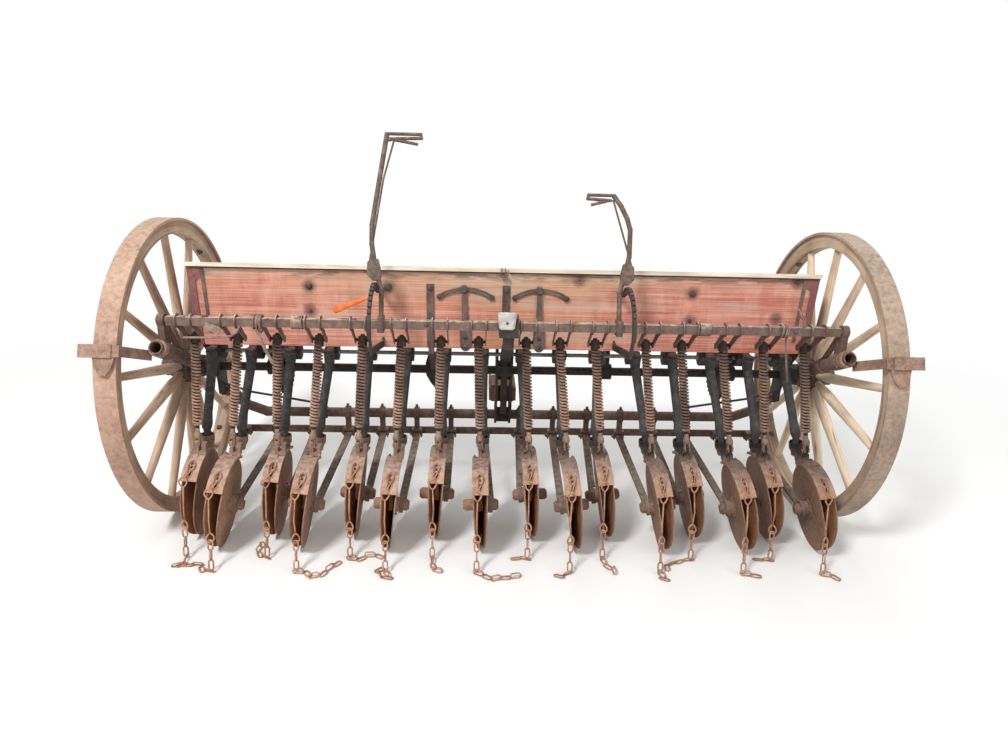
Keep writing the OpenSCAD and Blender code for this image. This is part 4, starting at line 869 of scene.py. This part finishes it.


# Pressure springs: round steel wire wound 25 times round each rod, which hangs from a pin in the yoke, with a
# washer and a forged fork below. The springs are darker towards their tops, and some springs more than
# others.
SPRING_LOW, SPRING_TURNS = 84, 25
COIL_R, COIL_WIRE, COIL_LENGTH = 15.2, 4.1, 316
STAND, BARE_ROD = 419, 103
TWIST = 1.3
coil_tree, takes, gives = new_rule("wound_spring", {
    "Geometry": "Geometry", "Turns": "Float", "Radius": "Float", "Length": "Float", "Wire": "Float"})
spiral = add(coil_tree, "GeometryNodeCurveSpiral", {
    "Resolution": 12, "Rotations": takes["Turns"], "Start Radius": takes["Radius"],
    "End Radius": takes["Radius"], "Height": takes["Length"]}).outputs[0]
section = add(coil_tree, "GeometryNodeCurvePrimitiveCircle", {"Resolution": 6, "Radius": takes["Wire"]})
wound = add(coil_tree, "GeometryNodeCurveToMesh", {
    "Curve": spiral, "Profile Curve": section.outputs[0], "Fill Caps": True})
smooth = add(coil_tree, "GeometryNodeSetShadeSmooth", {"Geometry": wound.outputs[0]}).outputs[0]
solid = add(coil_tree, "GeometryNodeRealizeInstances", {"Geometry": smooth}).outputs[0]
coil_tree.links.new(solid, gives["Geometry"])
coil = follow_rule("coil", coil_tree, {"Turns": float(SPRING_TURNS), "Radius": COIL_R,
                                       "Length": float(COIL_LENGTH), "Wire": COIL_WIRE})
patterns.append(coil)

rod_shape = bmesh.new()
turned(rod_shape, [(8.5, 60), (8.5, 93), (10.6, 95), (10.6, STAND - 26), (8.5, STAND - 24),
                   (8.5, STAND + 20), (7, STAND + 23)], 12)
turned(rod_shape, [(15, STAND - 19), (18.5, STAND - 16), (18.5, STAND - 12), (17, STAND - 11),
                   (17, STAND + 11), (15, STAND + 15)], 14)
sweep(rod_shape, [(-26.5, 0, STAND), (26.5, 0, STAND)], 6.0, 10)
spring_rod = forged("spring_rod", rod_shape)
fork_shape = bmesh.new()
turned(fork_shape, [(8, 30), (8.6, 48), (8.6, 62)], 12)
turned(fork_shape, [(9, 18), (14, 24), (14.5, 32), (12, 42), (9, 48)], 14)
turned(fork_shape, [(11, 74), (17, 77), (17.5, 80), (12, 84.5)], 16)
for x in (-7.75, 7.75):
    strip(fork_shape, [(x, 0, -11), (x, 0, 28)], 18, 5, (1, 0, 0))
sweep(fork_shape, [(-13.5, 0, 0), (13.5, 0, 0)], 5.0, 10)
spring_fork = forged("spring_fork", fork_shape)

coil_rust = iron("coil_rust", "#5c4033", "#a07a66", "#c8a18a", "#cbb09c", 0.2, 16.0, 0.40, 0.4, 0.50)
tree = coil_rust.node_tree
place = here(tree)
high_up = spread(tree, split(tree, place)["Z"], 0.60, 0.80, 0.0, 0.72)
luck = noise(tree, scaled(tree, place, (1.0, 0.05, 0.2)), 9.0, 1.0)
lay_over(coil_rust, calc(tree, "MAXIMUM", high_up, spread(tree, luck, 0.50, 0.62, 0.0, 0.66)), "#2a201b")
rod_rust = iron("rod_rust", "#1d1613", "#38291f", "#5d4a3d", "#76665a", 0.2, 16.0, 0.52, 0.4, 0.5)
fork_rust = iron("fork_rust", "#4c382c", "#8a6b58", "#b3927c", "#bca48f", 0.3, 16.0, 0.42, 0.4, 0.45)
for side in SIDES:
    rods, coils = [], []
    for k in HALVES[side]:
        eye = Vector((foot(k).x - (EYE_AT[1] - foot(k).z) * tan(lean(k)), *EYE_AT))
        top = Vector((yoke_x(k), *YOKE_END))
        stand = (top - eye).length
        turn = set_way(top - eye)
        rods.append((eye * MM, turn, (MM, MM, stand / STAND * MM)))
        start = eye + (top - eye).normalized() * SPRING_LOW
        coils.append((start * MM, turn @ Quaternion((0, 0, 1), k * TWIST),
                      (MM, MM, (stand - BARE_ROD) / COIL_LENGTH * MM)))
    rod = set_out("spring_rods_" + side, spring_rod, rods, rod_rust, "rods_" + side)
    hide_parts("springs_" + side)
    set_out("spring_forks_" + side, spring_fork, rods, fork_rust, "rods_" + side)
    set_out("pressure_springs_" + side, coil, coils, coil_rust, "rods_" + side)


# Seed tubes: drawn steel tubes that slide in each other, hung from the cups' spouts, with their lower ends in
# the funnels. A rolled bead runs round each neck and the lower tube sits in a collar.
SPOUT_Y, NECK_Z, CUP_OFF = -200, 699, 13
FUNNEL_Y, FUNNEL_OFF, FUNNEL_TOP, TUBE_END = -255, 10, 266, 214
CUP = [(22.5, 734.8), (21.5, 731), (20.5, 716), (20.5, 700), (19, 693)]
COLLAR = [18.5, 20.5, 19.5]
LOWER_TUBE = [13.6, 13.4, 13.2, 13]
tube_steel = iron("tube_steel", "#1d1b1b", "#3b383a", "#615c5c", "#8d8680", 0.35, 22.0, 0.48, 0.3, 0.2)
for side, sign in SIDES.items():
    tube_shape = bmesh.new()
    for k in HALVES[side]:
        x = row_x(k) - CUP_OFF
        sweep(tube_shape, [Vector((x, SPOUT_Y, z)) * MM for _, z in CUP], [r * MM for r, _ in CUP], 16)
        neck = Vector((x, SPOUT_Y, NECK_Z)) * MM
        knee, low = [at_foot(k, -sign * FUNNEL_OFF, FUNNEL_Y - foot(k).y, z) for z in (FUNNEL_TOP, TUBE_END)]
        line = [neck.lerp(knee, t / 14) for t in range(15)] + [knee.lerp(low, t / 4) for t in range(1, 5)]
        radii = [18.5 - 2.5 * t / 14 for t in range(12)] + COLLAR + LOWER_TUBE
        sweep(tube_shape, line, [r * MM for r in radii], 16)
        sweep(tube_shape, [neck + Vector((0, 0, 8 * MM)), neck, neck.lerp(knee, 0.03)],
              [17 * MM, 20 * MM, 18.6 * MM], 14)
    tubes = forged("seed_tube_set_" + side, tube_shape, None, tube_steel)
    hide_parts("seed_tubes_" + side)
    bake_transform(tubes)


# Lift chains: a keyhole hook of bent wire in the cover's slot, a straight wire with an eye at each end and
# common links down to the ground, where the end of each chain has been dropped
LINK_LONG, LINK_WIDE, LINK_WIRE, LINK_PITCH = 46, 23, 3.1, 38
# Each trail: the way it runs on the ground, in degrees from straight back towards the right, and its links
TRAILS = [(-40, 2), (-70, 5), (-60, 4), (62, 6), (80, 4), (35, 4), (20, 3), (70, 5),
          (-60, 2), (-50, 2), (48, 3), (25, 2), (-30, 4), (30, 2), (-60, 2), (15, 2)]
TRAIL_END_Y = -0.655
SWING, TURN_BACK = 1.15, (92, 125)
LYING, LEANING, QUARTER = 0.12, 1.1, 1.57
# The keyhole hook: degrees up from the front, mm out from the discs' axis, mm across
KEYHOLE = [(115, 195, 0), (118, 197, 8), (121.5, 197, 13), (126, 198, 9), (131, 200, 2), (136, 204, -5),
           (139.5, 210, -10), (136, 206, -13), (131, 202, -8), (126, 199, -10), (121.5, 197, -13),
           (118, 196, -8)]
HOOK_WIRE = 2.7
TOP_EYE_AT, TOP_EYE_X, TOP_EYE_OUT, TOP_EYE_R = radians(143), -10, 210, 16
LOW_EYE_R, LOW_EYE_DOWN, BOW_DOWN = 15.5, 0.58, 0.34
EYE_POINT, FIRST_LINK, LAST_Z = 18, 27, 20 * MM
GROUND_BACK, GROUND_Z, GROUND_GAP = 51, 12 * MM, 0.1
link_shape = bmesh.new()
bend = LINK_WIDE / 2 - LINK_WIRE
straight = LINK_LONG / 2 - LINK_WIDE / 2
loop = [(bend * cos(a), 0, straight + bend * sin(a)) for a in [pi * i / 5 for i in range(6)]]
loop += [(-x, y, -z) for x, y, z in loop]
sweep(link_shape, loop, LINK_WIRE, 6, True, (0, 1, 0))
link = forged("chain_link", link_shape)
chain_rust = iron("chain_rust", "#6a4431", "#a9765b", "#cfa283", "#cfb097", 0.2, 20.0, 0.42, 0.4, 0.2)


def wire_eye(shape, centre, radius, out, point):
    """Adds a closed eye of wire, drawn out to a point one way, whose plane faces out."""
    out, point = Vector(out).normalized(), Vector(point).normalized()
    over = out.cross(point).normalized()
    ring = []
    for i in range(18):
        a = tau * (i + 0.5) / 18
        wide = sin(a) * (0.62 + 0.38 * abs(sin(a / 2)))
        long = cos(a) + 0.22 * max(cos(a), 0) ** 3
        ring.append(centre + (over * wide + point * long) * radius * MM)
    sweep(shape, ring, LINK_WIRE * MM, 6, True, out)


def trail(place, angle, count, luck):
    """Links dropped on the ground: every second one lies flat and the others lean."""
    links = []
    for i in range(count):
        angle += luck.uniform(-SWING, SWING)
        way = Vector((sin(angle), -cos(angle), 0))
        if place.y + way.y * LINK_PITCH * MM < TRAIL_END_Y:
            angle = copysign(radians(luck.uniform(*TURN_BACK)), sin(angle))
            way = Vector((sin(angle), -cos(angle), 0))
        tilt = LYING if i % 2 else LEANING
        flat = Vector((-way.y, way.x, 0)) * cos(tilt) + Vector((0, 0, sin(tilt)))
        lift = (GROUND_GAP + LINK_WIRE + (LINK_WIDE / 2 - LINK_WIRE) * sin(tilt)) * MM
        links.append((Vector((place.x, place.y, lift)) + way * 8 * MM, set_way(way, flat), MM))
        place = place + way * LINK_PITCH * MM
    return links


for side in SIDES:
    wires, links = bmesh.new(), []
    for k in HALVES[side]:
        luck = random.Random(40 + k)
        hook = round_foot(k, TOP_EYE_X, TOP_EYE_OUT, TOP_EYE_AT)
        fall = Vector((hook.x, (foot(k).y - DISC_R - GROUND_BACK) * MM, GROUND_Z)) - hook
        down = fall.normalized()
        wire_eye(wires, hook, TOP_EYE_R, (0.25, -1, 0.25), down)
        keyhole = [round_foot(k, x, out, radians(at)) for at, out, x in KEYHOLE]
        sweep(wires, keyhole, HOOK_WIRE * MM, 6, True, way_at_foot(k, 0, -0.4, 0.9))
        bow = hook + fall * BOW_DOWN + Vector((luck.uniform(-5, 5), -4, 0)) * MM
        last = hook + fall * LOW_EYE_DOWN
        sweep(wires, [hook + down * EYE_POINT * MM, bow, last - down * EYE_POINT * MM], LINK_WIRE * MM, 6)
        wire_eye(wires, last, LOW_EYE_R, (0.5, -1, 0.2) if k % 2 else (-0.4, -1, 0.2), -down)
        place = last + down * FIRST_LINK * MM
        step = 0
        while place.z > LAST_Z:
            links.append((place, set_way(down, (cos(QUARTER * step), sin(QUARTER * step), 0)), MM))
            place = place + down * LINK_PITCH * MM
            step += 1
        angle, count = TRAILS[k]
        links += trail(place, radians(angle), count, luck)
    hooks = forged("chain_hooks_" + side, wires, "gang_" + side, chain_rust)
    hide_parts("chains_" + side)
    set_out("chain_links_" + side, link, links, chain_rust, "gang_" + side)


for pattern in patterns:
    bpy.data.objects.remove(pattern)
